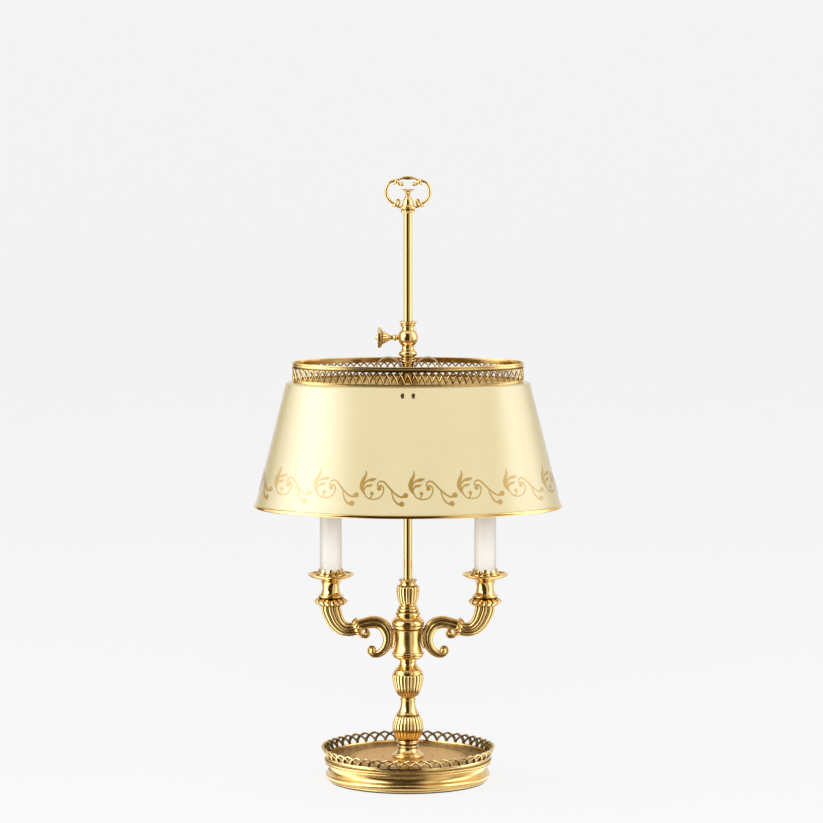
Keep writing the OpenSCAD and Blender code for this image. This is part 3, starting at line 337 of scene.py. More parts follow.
def make_looks(finish):
    vein, rolled, sand, skin = (30, 4, (1, 1, 0.3)), (500, 3, (1, 1, 0.2)), (420, 5), (650, 3)
    fibre = (1500, 6, (1, 1, 1), 0.7)
    LOOKS.update(
        polished=polished_brass(finish), satin=satin_brass(finish), tray=tray_brass(finish),
        # Baked cream enamel on sheet metal: an even coat with a faint orange peel
        enamel=even_finish("cream_enamel", pair(finish.enamel, 0.95), (14, 2),
                           ((180, 2), 0.4, 0.08), ((420, 2), 0.00003, 0.35), (0.3, 0.75),
                           **BAKED_COAT),
        # Gold lacquer inside the shade
        lining=even_finish("gold_lining", pair(finish.lining, 0.82), (40, 3),
                           ((300, 2), 0.42, 0.1), ((500, 2), 0.00003, 0.4), Metallic=0.0),
        # Bronze-powder gold of the stencilled border, thin in places
        stencil=even_finish("stencil_gold", (finish.stencil, [c ** 0.7 for c in finish.stencil]),
                            (130, 4), ((700, 2), 0.4, 0.14), None, (0.45, 0.85), 0.35,
                            Metallic=0.35, **BAKED_COAT),
        # Cast resin of the candle sleeves
        ivory=even_finish("candle_ivory", pair(finish.ivory, 1, 0.985, 0.95), vein,
                          (vein, 0.38, 0.12), ((90, 2), 0.0001, 0.3), Coat_Weight=0.15),
        # White glass of the candle bulbs
        opal=even_finish("opal_glass", ((0.93, 0.92, 0.88), (0.88, 0.87, 0.83)), (60, 2),
                         ((45, 2), 0.12, 0.05), Coat_Weight=0.6),
        # White moulded parts: lampholders, terminal block and sliding bush
        moulding=even_finish("white_moulding", ((0.78, 0.77, 0.73), (0.70, 0.69, 0.65)),
                             (50, 2), ((400, 2), 0.45, 0.12), ((900, 2), 0.00002, 0.5)),
        # Zinc-plated steel of the rod, nuts and washer
        steel=even_finish("plain_steel", ((0.56, 0.56, 0.57), (0.42, 0.43, 0.45)), rolled,
                          (rolled, 0.34, 0.2), (rolled, 0.00003, 0.5), Metallic=1.0),
        # Painted iron ballast, rough from the mould
        iron=even_finish("cast_iron", ((0.035, 0.035, 0.038), (0.07, 0.07, 0.072)), sand,
                         (sand, 0.7, 0.2), (sand, 0.0003, 0.8), Metallic=0.3),
        # Pressed wool felt
        felt=even_finish("green_felt", pair(finish.felt, 2.1), fibre, None,
                         (fibre, 0.0004, 0.8), (0.35, 0.7), Roughness=0.95, Sheen_Weight=0.4),
        # Black rubber and plastic of the inlet bush and the leads, and the flat black painted in
        # the screw heads' hollows as painted shade
        rubber=even_finish("black_insulation", ((0.012, 0.012, 0.013), (0.03, 0.03, 0.031)),
                           skin, (skin, 0.5, 0.2), (skin, 0.00005, 0.6)))


# ---- Outlines ----

def smooth(points, cuts=6):
    """A smooth curve through the points."""
    points = [Vector(p) for p in points]
    line = []
    for i in range(len(points) - 1):
        before, here = points[max(i - 1, 0)], points[i]
        ahead, beyond = points[i + 1], points[min(i + 2, len(points) - 1)]
        for k in range(cuts):
            t = k / cuts
            line.append(0.5 * (2 * here + (ahead - before) * t
                               + (2 * before - 5 * here + 4 * ahead - beyond) * t ** 2
                               + (3 * here - before - 3 * ahead + beyond) * t ** 3))
    return line + [points[-1]]


def eased(points, radius=0.3, bend=0.35):
    """The line with each sharp corner cut by a small round."""
    points = [Vector(p) for p in points]
    line = [points[0]]
    for before, here, ahead in zip(points, points[1:], points[2:]):
        back, on = before - here, ahead - here
        reach = min(radius, back.length * 0.45, on.length * 0.45)
        if reach < 0.01 or back.angle(-on, 0) < bend:
            line.append(here)
            continue
        start, end = here + back.normalized() * reach, here + on.normalized() * reach
        for t in (0, 0.33, 0.67, 1):
            line.append(start * (1 - t) ** 2 + here * 2 * t * (1 - t) + end * t ** 2)
    return line + [points[-1]]


def spaced(points, step):
    """The line with no two points further apart than step."""
    points = [Vector(p) for p in points]
    line = [points[0]]
    for here, ahead in zip(points, points[1:]):
        cuts = max(1, math.ceil((ahead - here).length / step))
        line.extend(here.lerp(ahead, k / cuts) for k in range(1, cuts + 1))
    return line


def ring_arc(centre, radius, start, end, cuts=8):
    """Points of an arc in the plane of an outline, with angles in degrees."""
    return [(centre[0] + radius * math.cos(math.radians(start + (end - start) * k / cuts)),
             centre[1] + radius * math.sin(math.radians(start + (end - start) * k / cuts)))
            for k in range(cuts + 1)]


def spokes(count, start=0.0):
    """Unit vectors evenly round Z, the first at start steps."""
    return [Vector((math.cos(TURN * (k + start) / count), math.sin(TURN * (k + start) / count),
                    0)) for k in range(count)]


class Seat:
    """Where a frame node stands, in millimetres."""

    def __init__(self, node):
        low, high = (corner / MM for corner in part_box(node))
        self.low, self.high = low, high
        self.x, self.z = (low.x + high.x) / 2, (low.z + high.z) / 2
        self.foot, self.top = low.z, high.z
        self.height = high.z - low.z
        self.radius = (high.x - low.x) / 2

    def at(self, part):
        """The height at a share of the node's own."""
        return self.foot + part * self.height

    def outline(self, *stretches):
        """Curved stretches of (share of radius, share of height), joined with corners."""
        line = []
        for stretch in stretches:
            line.extend(smooth(stretch) if len(stretch) > 2 else [Vector(p) for p in stretch])
        return [Vector((p[0] * self.radius, self.at(p[1]))) for p in line]


# ---- Mesh building ----

def new_mesh():
    """An empty mesh with the layers that the finishes and the sweeps use."""
    bm = bmesh.new()
    bm.verts.layers.float.new("recess")
    bm.verts.layers.int.new("corner")
    return bm


def recess_of(bm):
    """The layer that says how dark a point is painted: tarnish in the grooves, and painted shade
    in some places.
    """
    return bm.verts.layers.float["recess"]


def groove_tones(outline, reach=2.6, full=1.1):
    """How far each outline point lies in a groove between fuller parts, from 0 to 1."""
    tones = []
    for here in outline:
        above = max(p[0] for p in outline if 0 <= p[1] - here[1] <= reach)
        below = max(p[0] for p in outline if 0 <= here[1] - p[1] <= reach)
        tones.append(min(1, max(0, min(above, below) - here[0]) / full))
    return tones


def darken_grooves(bm, outline):
    """Marks the grooves of a turned piece, for the tarnish that gathers in them."""
    recess, by_height = recess_of(bm), {}
    for point, tone in zip(outline, groove_tones(outline)):
        by_height.setdefault(round(point[1], 2), []).append((point[0], tone))
    for vert in bm.verts:
        radius = vert.co.xy.length
        here = by_height.get(round(vert.co.z, 2), [(0, 0)])
        vert[recess] = min(here, key=lambda level: abs(level[0] - radius))[1]


def spin(outline, steps=96, closed=True, grooves=False):
    """Turns an outline of (radius, height) about Z. A closed outline comes back to its start."""
    bm = new_mesh()
    verts = [bm.verts.new((p[0], 0, p[1])) for p in outline]
    pairs = list(zip(verts, verts[1:]))
    if closed:
        pairs.append((verts[-1], verts[0]))
    edges = [bm.edges.new(ends) for ends in pairs]
    bmesh.ops.spin(bm, geom=verts + edges, cent=(0, 0, 0), axis=(0, 0, 1), dvec=(0, 0, 0),
                   angle=TURN, steps=steps, use_merge=True)
    bmesh.ops.remove_doubles(bm, verts=bm.verts, dist=MERGE)
    bmesh.ops.recalc_face_normals(bm, faces=bm.faces)
    if grooves:
        darken_grooves(bm, outline)
    return bm


def reed(bm, count, low, high, depth, inside=0.0, round_top=True, round_foot=False):
    """Presses channels into a turned skin between two heights, leaving round reeds."""
    recess = recess_of(bm)
    half = TURN / count / 2
    for vert in bm.verts:
        radius = math.hypot(vert.co.x, vert.co.y)
        if radius <= inside or not low <= vert.co.z <= high:
            continue
        across = abs((math.atan2(vert.co.y, vert.co.x) + half) % (2 * half) - half) / half
        cap = radius * half
        over = max(round_top * (vert.co.z - high + cap), round_foot * (low + cap - vert.co.z), 0)
        sunk = 1 - math.sqrt(max(0, 1 - across ** 2 - (over / cap) ** 2))
        vert.co.xy *= (radius - depth * sunk) / radius
        vert[recess] = max(vert[recess], sunk ** 1.6)


def leaf_gap(vert, count):
    """0 on a leaf's rib and 1 between two leaves."""
    return 1 - abs(math.cos(math.atan2(vert.co.y, vert.co.x) * count / 2))


def petal(bm, count, low, high, depth, inside, power, lift):
    """Cuts an edge into leaves: draws the skin in between the tips, most at high."""
    recess = recess_of(bm)
    for vert in bm.verts:
        radius = math.hypot(vert.co.x, vert.co.y)
        if radius <= inside or not low - 0.001 <= vert.co.z <= high + 0.001:
            continue
        along = (vert.co.z - low) / (high - low)
        gap = leaf_gap(vert, count)
        vert.co.xy *= (radius - depth * gap ** power * along) / radius
        vert.co.z -= lift * gap ** power * along
        vert[recess] = max(vert[recess], 0.8 * gap ** 2 * along)


def carried_sides(path, side):
    """A side vector at each point of the path, carried along without twist."""
    sides = []
    for i in range(len(path)):
        heading = (path[min(i + 1, len(path) - 1)] - path[max(i - 1, 0)]).normalized()
        side = (side - heading * side.dot(heading)).normalized()
        sides.append((side, heading.cross(side)))
    return sides


def sweep(path, sections, side=(0, 1, 0), tones=None):
    """Draws a section along a path by extruding its ring from point to point.

    sections holds one list of (sideways, up) points for each point of the path."""
    bm = new_mesh()
    corner, recess = bm.verts.layers.int["corner"], recess_of(bm)
    path = [Vector(p) for p in path]
    ring = bmesh.ops.create_circle(bm, cap_ends=False, segments=len(sections[0]),
                                   radius=1)["verts"]
    for k, vert in enumerate(ring):
        vert[corner] = k
    edges = list({edge for vert in ring for edge in vert.link_edges})
    for i, (point, (across, up)) in enumerate(zip(path, carried_sides(path, Vector(side)))):
        if i:
            grown = bmesh.ops.extrude_edge_only(bm, edges=edges)["geom"]
            ring = only(grown, "BMVert")
            edges = [edge for edge in only(grown, "BMEdge")
                     if all(vert in ring for vert in edge.verts)]
        for vert in ring:
            u, v = sections[i][vert[corner]]
            vert.co = point + across * u + up * v
            vert[recess] = tones[i][vert[corner]] if tones else 0.0
    bmesh.ops.holes_fill(bm, edges=bm.edges, sides=0)
    bmesh.ops.remove_doubles(bm, verts=bm.verts, dist=MERGE)
    bmesh.ops.recalc_face_normals(bm, faces=bm.faces)
    return bm


def toned_sweep(path, made):
    """A sweep of sections that each come with their corners' tones."""
    return sweep(path, [section for section, tones in made], tones=[tones for _, tones in made])


def only(parts, kind):
    """The vertices, edges or faces among the parts of a mesh."""
    return [part for part in parts if isinstance(part, getattr(bmesh.types, kind))]


def everything(bm):
    return bm.verts[:] + bm.edges[:] + bm.faces[:]


def in_a_row(bm, count, pitch):
    """Repeats the whole mesh along X, to count in all."""
    original = everything(bm)
    for k in range(1, count):
        copy = bmesh.ops.duplicate(bm, geom=original)["geom"]
        bmesh.ops.translate(bm, vec=(k * pitch, 0, 0), verts=only(copy, "BMVert"))


def round_section(radius, count=12, flat=1.0):
    """A round section, squeezed sideways by flat."""
    return [(radius * flat * math.cos(TURN * k / count), radius * math.sin(TURN * k / count))
            for k in range(count)]


def strap_section(width, thick, chamfer):
    """A flat strap's section with chamfered edges: thick sideways, wide upwards."""
    u, v = thick / 2, width / 2
    c = min(chamfer, u * 0.8, v * 0.8)
    return [(u, -v + c), (u, v - c), (u - c, v), (-u + c, v), (-u, v - c), (-u, -v + c),
            (-u + c, -v), (u - c, -v)]


def rod(path, radii, count=12, flat=1.0):
    """A round bar whose thickness follows radii."""
    return sweep(path, [round_section(r, count, flat) for r in radii])


def move(bm, matrix):
    bmesh.ops.transform(bm, matrix=matrix, verts=bm.verts)


def take_in(bm, other, matrix=None):
    """Adds the other mesh, moved by matrix, and frees it."""
    if matrix is not None:
        move(other, matrix)
    mesh = bpy.data.meshes.new("part")
    other.to_mesh(mesh)
    other.free()
    bm.from_mesh(mesh)
    bpy.data.meshes.remove(mesh)


def ball(bm, centre, radius, scale=(1, 1, 1), segments=20):
    """A round bead, squeezed by scale."""
    bead = new_mesh()
    bmesh.ops.create_uvsphere(bead, u_segments=segments, v_segments=segments // 2, radius=radius)
    take_in(bm, bead, Matrix.Translation(centre) @ Matrix.Diagonal((*scale, 1)))


def leaf(bm, root, tip, width, thick, bend):
    """A small pointed leaf from root to tip, bowed towards bend."""
    path = smooth([root, root.lerp(tip, 0.5) + bend, tip], 5)
    swell = (0.55, 0.72, 0.88, 0.98, 1, 0.94, 0.82, 0.64, 0.42, 0.22, 0.04)
    sections = [[(width * s * math.cos(TURN * k / 8), thick * s ** 0.5 * math.sin(TURN * k / 8))
                 for k in range(8)] for s in swell]
    take_in(bm, sweep(path, sections, (tip - root).cross(bend)))


def stand_on_x(bm, sign):
    """Mirrors a right-hand shape to the left when sign is -1."""
    if sign < 0:
        bmesh.ops.scale(bm, vec=(-1, 1, 1), verts=bm.verts)
        bmesh.ops.reverse_faces(bm, faces=bm.faces)


def mesh_object(name, bm, *materials):
    """Puts the mesh into the scene, smooth, and frees the bmesh."""
    mesh = bpy.data.meshes.new(name)
    bm.to_mesh(mesh)
    bm.free()
    mesh.polygons.foreach_set("use_smooth", [True] * len(mesh.polygons))
    for material in materials:
        mesh.materials.append(material)
    thing = bpy.data.objects.new(name, mesh)
    bpy.context.scene.collection.objects.link(thing)
    return thing


def finished(name, bm, *nodes, look="polished", body="stand", slot=None, sharp=40):
    """Makes the piece: scales it to metres, smooths it, and ties it to the frame.

    look is one name of a finish, or two with a space between."""
    bmesh.ops.scale(bm, vec=(MM, MM, MM), verts=bm.verts)
    piece = mesh_object(name, bm, *(look_named(each) for each in look.split()))
    piece.data.set_sharp_from_angle(angle=math.radians(sharp))
    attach(piece, body)
    if nodes:
        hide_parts(*nodes)


def refinish(look, *nodes):
    """Gives frame nodes that stay as they are a better material."""
    for node in nodes:
        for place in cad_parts[node].material_slots:
            place.material = look_named(look)


# ---- Base ----

def plinth_outline(seat):
    """Torus foot, cavetto with fillets and a stepped top moulding, then the inside."""
    r, z, h = seat.radius, seat.foot, seat.height
    return [
        *ring_arc((r - 5.1, z + 1.15), 1.15, -90, 75, 6), (r - 5.4, z + 2.35),
        *ring_arc((r - 5.9, z + 5.6), 3.9, -58, 60, 12),
        (r - 4.6, z + h * 0.4), (r - 5.3, z + h * 0.42),
        *ring_arc((r + 0.6, z + h * 0.585), 6.1, 212, 152, 10),
        (r - 3.4, z + h * 0.735), (r - 3.4, z + h * 0.765), (r - 2.2, z + h * 0.785),
        *ring_arc((r - 2.2, z + h * 0.835), 1.15, -80, 75, 6),
        (r - 1.2, z + h * 0.89), (r - 1.2, z + h * 0.915),
        *ring_arc((r - 0.9, z + h - 0.9), 0.9, -60, 90, 6),
        (r - 9, z + h), (r - 7, z + h - 2), (r - 7, z + 9), (r - 5, z + 5),
        (r - 9, z + 1.5), (r - 12, z + 1.5), (r - 12, z)]


def dress_plinth():
    line = spaced(eased(plinth_outline(Seat("base_plinth")), 0.35), 1)
    finished("plinth", spin(line, FINE, grooves=True), "base_plinth", look="satin")


def dress_tray():
    """Tray plate with an engraved double ring and a stippled band outside it."""
    seat = Seat("base_tray")
    ring, groove, plain = 61.0, 0.75, 72
    top = seat.top
    line = [(ROD_BORE, seat.foot), (seat.radius, seat.foot), (seat.radius, top), (90, top),
            (84, top), (78, top), (plain, top)]
    for at, width in ((ring + 2.2, groove * 0.6), (ring, groove), (29, groove * 0.5)):
        line += [(at + width, top), (at, top - width), (at - width, top)]
    bm = spin(spaced(line + [(ROD_BORE, top)], 4), FINE)
    recess, band = recess_of(bm), bm.verts.layers.float.new("stipple")
    for vert in bm.verts:
        radius, height = vert.co.xy.length, vert.co.z
        if seat.foot + 0.5 < height < top - 0.15 and radius < seat.radius - 1:
            vert[recess] = 1
        # Darker towards the gallery: painted shade that the gallery casts on the tray's edge
        if radius > plain and height > top - 0.15:
            vert[recess] = min(0.4, (radius - plain) / 30)
        vert[band] = min(1, max(0, (radius - ring - 2.5) / 1.5))
    finished("tray", bm, "base_tray", look="tray")


ARCH = ((1.0, 0.0), (0.965, 0.14), (0.86, 0.38), (0.66, 0.61), (0.36, 0.83), (0.14, 0.94),
        (0.0, 1.0))
LOW_ARCH = ((1.0, 0.0), (0.95, 0.1), (0.82, 0.31), (0.64, 0.55), (0.42, 0.78), (0.2, 0.93),
            (0.0, 1.0))


def arch_strand(shape, pitch, height, width, thick, cuts, tones, over=0.2):
    """One pointed arch in the XZ plane, two pitches wide, its left leg a little forward.

    tones says how dark each corner of the strand's section is painted: painted shade on the
    strands' hidden sides."""
    right = smooth(shape, cuts)
    line = [Vector((-p[0], p[1])) for p in right[:-1]] + right[::-1]
    path = [(p[0] * pitch, over * (-1 if p[0] < 0 else 1) * min(1, abs(p[0]) * 3),
             p[1] * height) for p in line]
    return sweep(path, [strap_section(width, thick, width * 0.22)] * len(path),
                 tones=[tones] * len(path))


def gallery(band, strands):
    """A gallery's foot band with its strands."""
    take_in(band, strands)
    bmesh.ops.recalc_face_normals(band, faces=band.faces)
    return band


def dress_base_gallery(ornament):
    """Interlaced pointed arches that lean out over a moulded foot band."""
    seat = Seat("base_gallery")
    band, thick, lean_out, first = 3.0, 3.6, 4.7, math.radians(1.4)
    foot, z = Seat("base_plinth").radius - 1.4, seat.foot
    count, width = ornament.base_arches, ornament.base_strand / MM
    tall = seat.height - band - width * 0.6
    slant = math.hypot(tall, lean_out)
    # The strands are painted dark on their inner sides and undersides: painted shade
    strand = arch_strand(ARCH, TURN * foot / count, slant, width, thick, 3,
                         (0.85, 0.05, 0.05, 0.75, 1, 1, 1, 1))
    for vert in strand.verts:
        along, out, up = vert.co
        angle = along / foot + first
        radius = foot - thick / 2 + lean_out * up / slant + out
        vert.co = (radius * math.cos(angle), radius * math.sin(angle),
                   z + band + tall * up / slant)
    bmesh.ops.spin(strand, geom=everything(strand), cent=(0, 0, 0), axis=(0, 0, 1),
                   dvec=(0, 0, 0), angle=TURN * (count - 1) / count, steps=count - 1,
                   use_duplicate=True)
    foot_band = spin(eased([
        (foot - 1.8, z), (foot, z), (foot + 0.1, z + 0.5), (foot - 0.35, z + 0.9),
        (foot - 0.25, z + band), (foot - 1.5, z + band), (foot - 1.8, z + band - 0.4)], 0.15),
        FINE)
    finished("base_gallery_strands", gallery(foot_band, strand), "base_gallery")


def dress_inlet():
    """Rubber bush of the cord inlet, turned about Y."""
    seat = Seat("cord_gland")
    depth, bore = seat.high.y - seat.low.y, 3.3
    bm = spin(eased([(bore, 0), (seat.radius, 0), (seat.radius, 2.5), (5, 2.5),
                     (5, depth - 1.2), (4.6, depth), (bore + 0.3, depth), (bore, depth - 0.4)],
                    0.3), 48)
    move(bm, Matrix.Translation((0, seat.low.y, seat.z)) @ Matrix.Rotation(-TURN / 4, 4, "X"))
    finished("inlet_bush", bm, "cord_gland", look="rubber")


# ---- Column ----

# Turned pieces of the column: stretches of their outline, in shares of radius and height
COLUMN = {
    "foot_collar": [
        [(0.9, 0), (0.97, 0.02), (1, 0.09), (0.985, 0.16), (0.93, 0.21)],
        [(0.89, 0.22), (0.89, 0.25)],
        [(0.86, 0.265), (0.77, 0.36), (0.69, 0.46), (0.63, 0.57), (0.605, 0.66)],
        [(0.64, 0.67), (0.67, 0.72), (0.64, 0.77)],
        [(0.585, 0.78), (0.57, 0.84), (0.585, 0.9)],
        [(0.64, 0.91), (0.665, 0.955), (0.65, 1)]],
    "lower_vase": [
        [(0.66, 0), (0.70, 0.025), (0.69, 0.055)], [(0.645, 0.065), (0.645, 0.085)],
        [(0.68, 0.095), (0.77, 0.135), (0.86, 0.2), (0.955, 0.335), (0.995, 0.45), (1, 0.53),
         (0.965, 0.665), (0.88, 0.81), (0.765, 0.935)],
        [(0.7, 0.945), (0.7, 0.97)], [(0.735, 0.975), (0.745, 1)]],
    "vase_neck": [
        [(0.745, 0), (0.72, 0.035)],
        [(0.68, 0.045), (0.6, 0.17), (0.53, 0.33), (0.48, 0.52), (0.455, 0.68), (0.46, 0.75)],
        [(0.5, 0.76), (0.525, 0.81), (0.5, 0.86)], [(0.455, 0.87), (0.45, 0.93), (0.475, 1)]],
    "upper_vase": [
        [(0.48, 0), (0.57, 0.02), (0.665, 0.085), (0.75, 0.17), (0.825, 0.275), (0.915, 0.46),
         (0.97, 0.64), (1, 0.81), (0.99, 0.9), (0.955, 0.975)],
        [(0.9, 0.985), (0.9, 1)]],
    "vase_cap": [
        [(0.9, 0), (0.9, 0.03)], [(0.935, 0.04), (0.94, 0.08), (0.92, 0.12)],
        [(0.865, 0.13), (0.865, 0.165)],
        [(0.86, 0.175), (0.81, 0.25), (0.715, 0.37), (0.61, 0.52), (0.535, 0.67), (0.51, 0.8),
         (0.52, 0.9)],
        [(0.545, 0.92), (0.555, 1)]],
    "hub_foot": [
        [(0.55, 0), (0.64, 0.01), (0.75, 0.07), (0.84, 0.18), (0.9, 0.32), (0.93, 0.46)],
        [(0.905, 0.48), (0.905, 0.54)],
        [(0.965, 0.58), (1, 0.7), (1, 0.8), (0.975, 0.88)], [(0.88, 0.9), (0.88, 1)]],
    "hub_body": [
        [(1.29, 0), (1.27, 0.02), (1.21, 0.08), (1.11, 0.2), (1.04, 0.34), (1, 0.48),
         (1.01, 0.6), (1.07, 0.74), (1.16, 0.86), (1.25, 0.91)],
        [(1.17, 0.92), (1.17, 0.94)], [(1.27, 0.95), (1.3, 0.975), (1.27, 1)]],
    "hub_top": [
        [(0.93, 0), (0.93, 0.03)], [(0.965, 0.04), (0.975, 0.1), (0.95, 0.15)],
        [(0.9, 0.16), (0.9, 0.19)],
        [(0.95, 0.2), (0.99, 0.27), (1, 0.37), (0.985, 0.48), (0.94, 0.62), (0.86, 0.78),
         (0.75, 0.92), (0.68, 1)]],
    "stepped_rings": [
        [(12.4, 0), (13.3, 0.03), (14.1, 0.12), (14.2, 0.22), (13.4, 0.33), (12.3, 0.38)],
        [(11.7, 0.385), (11.7, 0.42)], [(12.1, 0.43), (12.7, 0.5), (12.5, 0.58), (11.8, 0.635)],
        [(10.7, 0.65), (10.7, 0.69)], [(10.9, 0.7), (11.1, 0.77), (10.6, 0.84), (9.6, 0.9)],
        [(8.9, 0.93), (9, 1)]],
    "fluted_bud": [
        [(0.69, 0), (0.76, 0.03), (0.84, 0.13), (0.9, 0.26), (0.97, 0.46), (1, 0.66),
         (0.985, 0.8), (0.93, 0.9), (0.85, 0.95)],
        [(0.78, 0.96), (0.76, 1)]],
    "bud_collar": [
        [(0.86, 0), (0.83, 0.14), (0.845, 0.3)], [(0.9, 0.36), (0.91, 0.46)],
        [(0.96, 0.5), (1, 0.66), (0.985, 0.84), (0.93, 0.93)], [(0.88, 0.97), (0.7, 1)]],
}
# Radii, in millimetres, where the outline's unit isn't the node's own radius
COLUMN_RADII = {"vase_neck": 17.7, "vase_cap": 18.0, "hub_body": 13.2, "stepped_rings": 1.0}


def column_reeds(ornament):
    """For each reeded piece: count, low and high end, depth, round head, round foot."""
    depth, vase, bud = ornament.reed_depth / MM, ornament.vase_reeds, ornament.bud_reeds
    return {"lower_vase": (vase, 0.09, 0.94, depth, True, True),
            "upper_vase": (vase, 0.04, 0.95, depth, True, False),
            "fluted_bud": (bud, 0.02, 0.945, depth, True, False),
            "bud_collar": (20, 0.47, 0.94, 0.45, True, True)}


def dress_column(ornament):
    reeds = column_reeds(ornament)
    for node, stretches in COLUMN.items():
        seat = Seat(node)
        seat.radius = COLUMN_RADII.get(node, seat.radius)
        bore = MAST_BORE if node in ("fluted_bud", "bud_collar") else ROD_BORE
        line = eased(seat.outline(*stretches), 0.22)
        hole = [Vector((bore, seat.top)), Vector((bore, seat.foot))]
        if node in reeds:
            count, low, high, depth, round_head, round_foot = reeds[node]
            bm = spin(spaced(line, 0.55) + hole, count * 10, grooves=True)
            reed(bm, count, seat.at(low), seat.at(high), depth, bore + 0.5, round_head,
                 round_foot)
        else:
            bm = spin(line + hole, ROUND, grooves=True)
        finished("column_" + node, bm, node, look="satin" if node == "hub_body" else "polished",
                 sharp=32)


def dress_mast():
    seat = Seat("mast")
    bore, edge, r = 4.0, 0.2, seat.radius
    line = [(bore, seat.foot), (r, seat.foot), (r, seat.top - edge), (r - edge, seat.top),
            (bore, seat.top)]
    finished("mast_tube", spin(spaced(line, 60)), "mast")


# ---- Arms ----

def horn_section(radius, count, depth, flat, steps=8):
    """A reeded round section, with how deep each point lies in a channel."""
    points, tones = [], []
    total = count * steps
    for k in range(total):
        across = abs((k / steps + 0.5) % 1 - 0.5) * 2
        sunk = 1 - math.sqrt(max(0, 1 - across ** 2))
        r = radius - depth * sunk
        points.append((r * flat * math.cos(TURN * k / total), r * math.sin(TURN * k / total)))
        tones.append(min(1, sunk ** 1.4 * depth))
    return points, tones


def scroll_section(radius, flat):
    """The scroll's section: a narrow outer rib and a wide inner rib, with a channel between."""
    half = [(0.0, 1.0, 0.0), (0.27, 0.97, 0.0), (0.55, 0.87, 0.0), (0.76, 0.7, 0.0),
            (0.88, 0.5, 0.0), (0.93, 0.3, 0.05), (0.94, 0.1, 0.1), (0.9, -0.08, 0.2),
            (0.8, -0.17, 0.6), (0.66, -0.25, 1.0), (0.63, -0.34, 1.0), (0.72, -0.43, 0.5),
            (0.79, -0.55, 0.1), (0.77, -0.7, 0.0), (0.62, -0.85, 0.0), (0.35, -0.96, 0.0),
            (0.0, -1.0, 0.0)]
    points = half + [(-u, v, tone) for u, v, tone in half[-2:0:-1]]
    return ([(u * radius * flat, v * radius) for u, v, tone in points],
            [tone for u, v, tone in points])


def arm_mesh(candle_x, rise, join_z, ornament):
    """Horn, leaf collar, S-scroll, saddle and curls, for the right-hand side."""
    def lift(p):
        return Vector((p[0], 0, join_z + p[1]))

    def scroll(points, cuts, flat):
        line = smooth(points, cuts)
        return toned_sweep([lift(p) for p in line], [scroll_section(p[2], flat) for p in line])

    horn = smooth([
        (candle_x, rise + 0.4, 11.4), (candle_x - 0.3, rise - 4, 11.4),
        (candle_x - 2, rise - 9.4, 11), (candle_x - 5.7, rise - 17.8, 9.9),
        (candle_x - 11.7, rise - 24.3, 8.9), (candle_x - 18.2, 9.4, 8.0),
        (candle_x - 24, 9.6, 7.9), (candle_x - 31, 12.2, 8.4)], 4)
    bm = toned_sweep([lift(p) for p in horn], [
        horn_section(p[2], ornament.horn_reeds, p[2] * 0.2, 0.9 + 0.1 * max(0, 1 - i / 8))
        for i, p in enumerate(horn)])
    take_in(bm, scroll([
        (candle_x - 29.5, 11.9, 7.6), (54.5, 14.2, 6.9), (50, 15.8, 6.6), (44.5, 17.1, 6.9),
        (37.8, 17.7, 7.2), (29.8, 15.2, 7.3), (25.4, 10.4, 7.2), (23.0, 5, 6.9),
        (22.3, -0.4, 6.3), (23.2, -6.6, 5.6), (26.2, -13, 5.1), (30.6, -17.2, 4.6),
        (35.9, -19.4, 4.0), (40.8, -19, 3.4), (44, -15.6, 2.8), (43, -11.9, 2.3),
        (39.6, -11.2, 1.9), (37.2, -13.4, 1.6)], 5, 0.9))
    ball(bm, lift((40.1, -15.1)), 4.4, (1, 1.12, 1), 24)
    saddle = smooth([(17.5, 10.6, 0.8), (16.1, 5.6, 1.7), (15.4, 0, 2.1), (15.9, -5.6, 2.0),
                     (17.5, -10.4, 1.6), (18.6, -12.8, 0.6)], 3)
    take_in(bm, rod([lift(p) for p in saddle], [p[2] for p in saddle], 14, 2.3))
    take_in(bm, scroll([
        (57.5, 7.4, 3.2), (53.8, 3.2, 2.8), (50.6, 1.5, 2.5), (47.2, 1.2, 2.3),
        (44.9, 3, 2.1), (44.8, 6, 2.0), (46.6, 8, 1.8), (48.8, 7.2, 1.6)], 4, 1.25))
    ball(bm, lift((47.3, 4.6)), 2.7, (1, 1.3, 1))
    leaf_collar(bm, lift((candle_x - 30.9, 12.4)), Vector((-0.94, 0, 0.34)), 8.4)
    return bm


def leaf_collar(bm, centre, away, radius, leaves=10):
    """Pointed leaves round the neck where the horn leaves the scroll."""
    across = Vector((0, 1, 0))
    up = away.cross(across).normalized()
    for k in range(leaves):
        angle = TURN * (k + 0.5) / leaves
        out = across * math.cos(angle) * 0.9 + up * math.sin(angle)
        leaf(bm, centre - away * 4.5 + out * radius * 0.92,
             centre + away * 2.4 + out * (radius + 1.7), 2.3, 0.9, out * 0.5)
    rings = [(-1.6, 0.97), (-1.2, 1.06), (-0.3, 1.1), (0.6, 1.05), (1.4, 0.9)]
    take_in(bm, sweep([centre + away * at for at, r in rings],
                      [round_section(radius * r, 40, 0.92) for at, r in rings], across))


def dress_arms(ornament):
    nipple_z = Seat("arm_nipples").z
    for side, sign in SIDES:
        cup = Seat("candle_cup_" + side)
        bm = arm_mesh(abs(cup.x), cup.foot - nipple_z, nipple_z, ornament)
        boss = spin([(0, 0), (3.9, 0), (3.9, 8), (0, 8)], 40)
        # The boss is painted dark all over: painted shade where the arm meets the hub
        for vert in boss.verts:
            vert[recess_of(boss)] = 0.9
        take_in(bm, boss, Matrix.Translation((13.4, 0, nipple_z))
                @ Matrix.Rotation(TURN / 4, 4, "Y"))
        stand_on_x(bm, sign)
        finished("scroll_arm_" + side, bm, "arm_" + side, look="satin", sharp=50)


# ---- Candle fittings ----

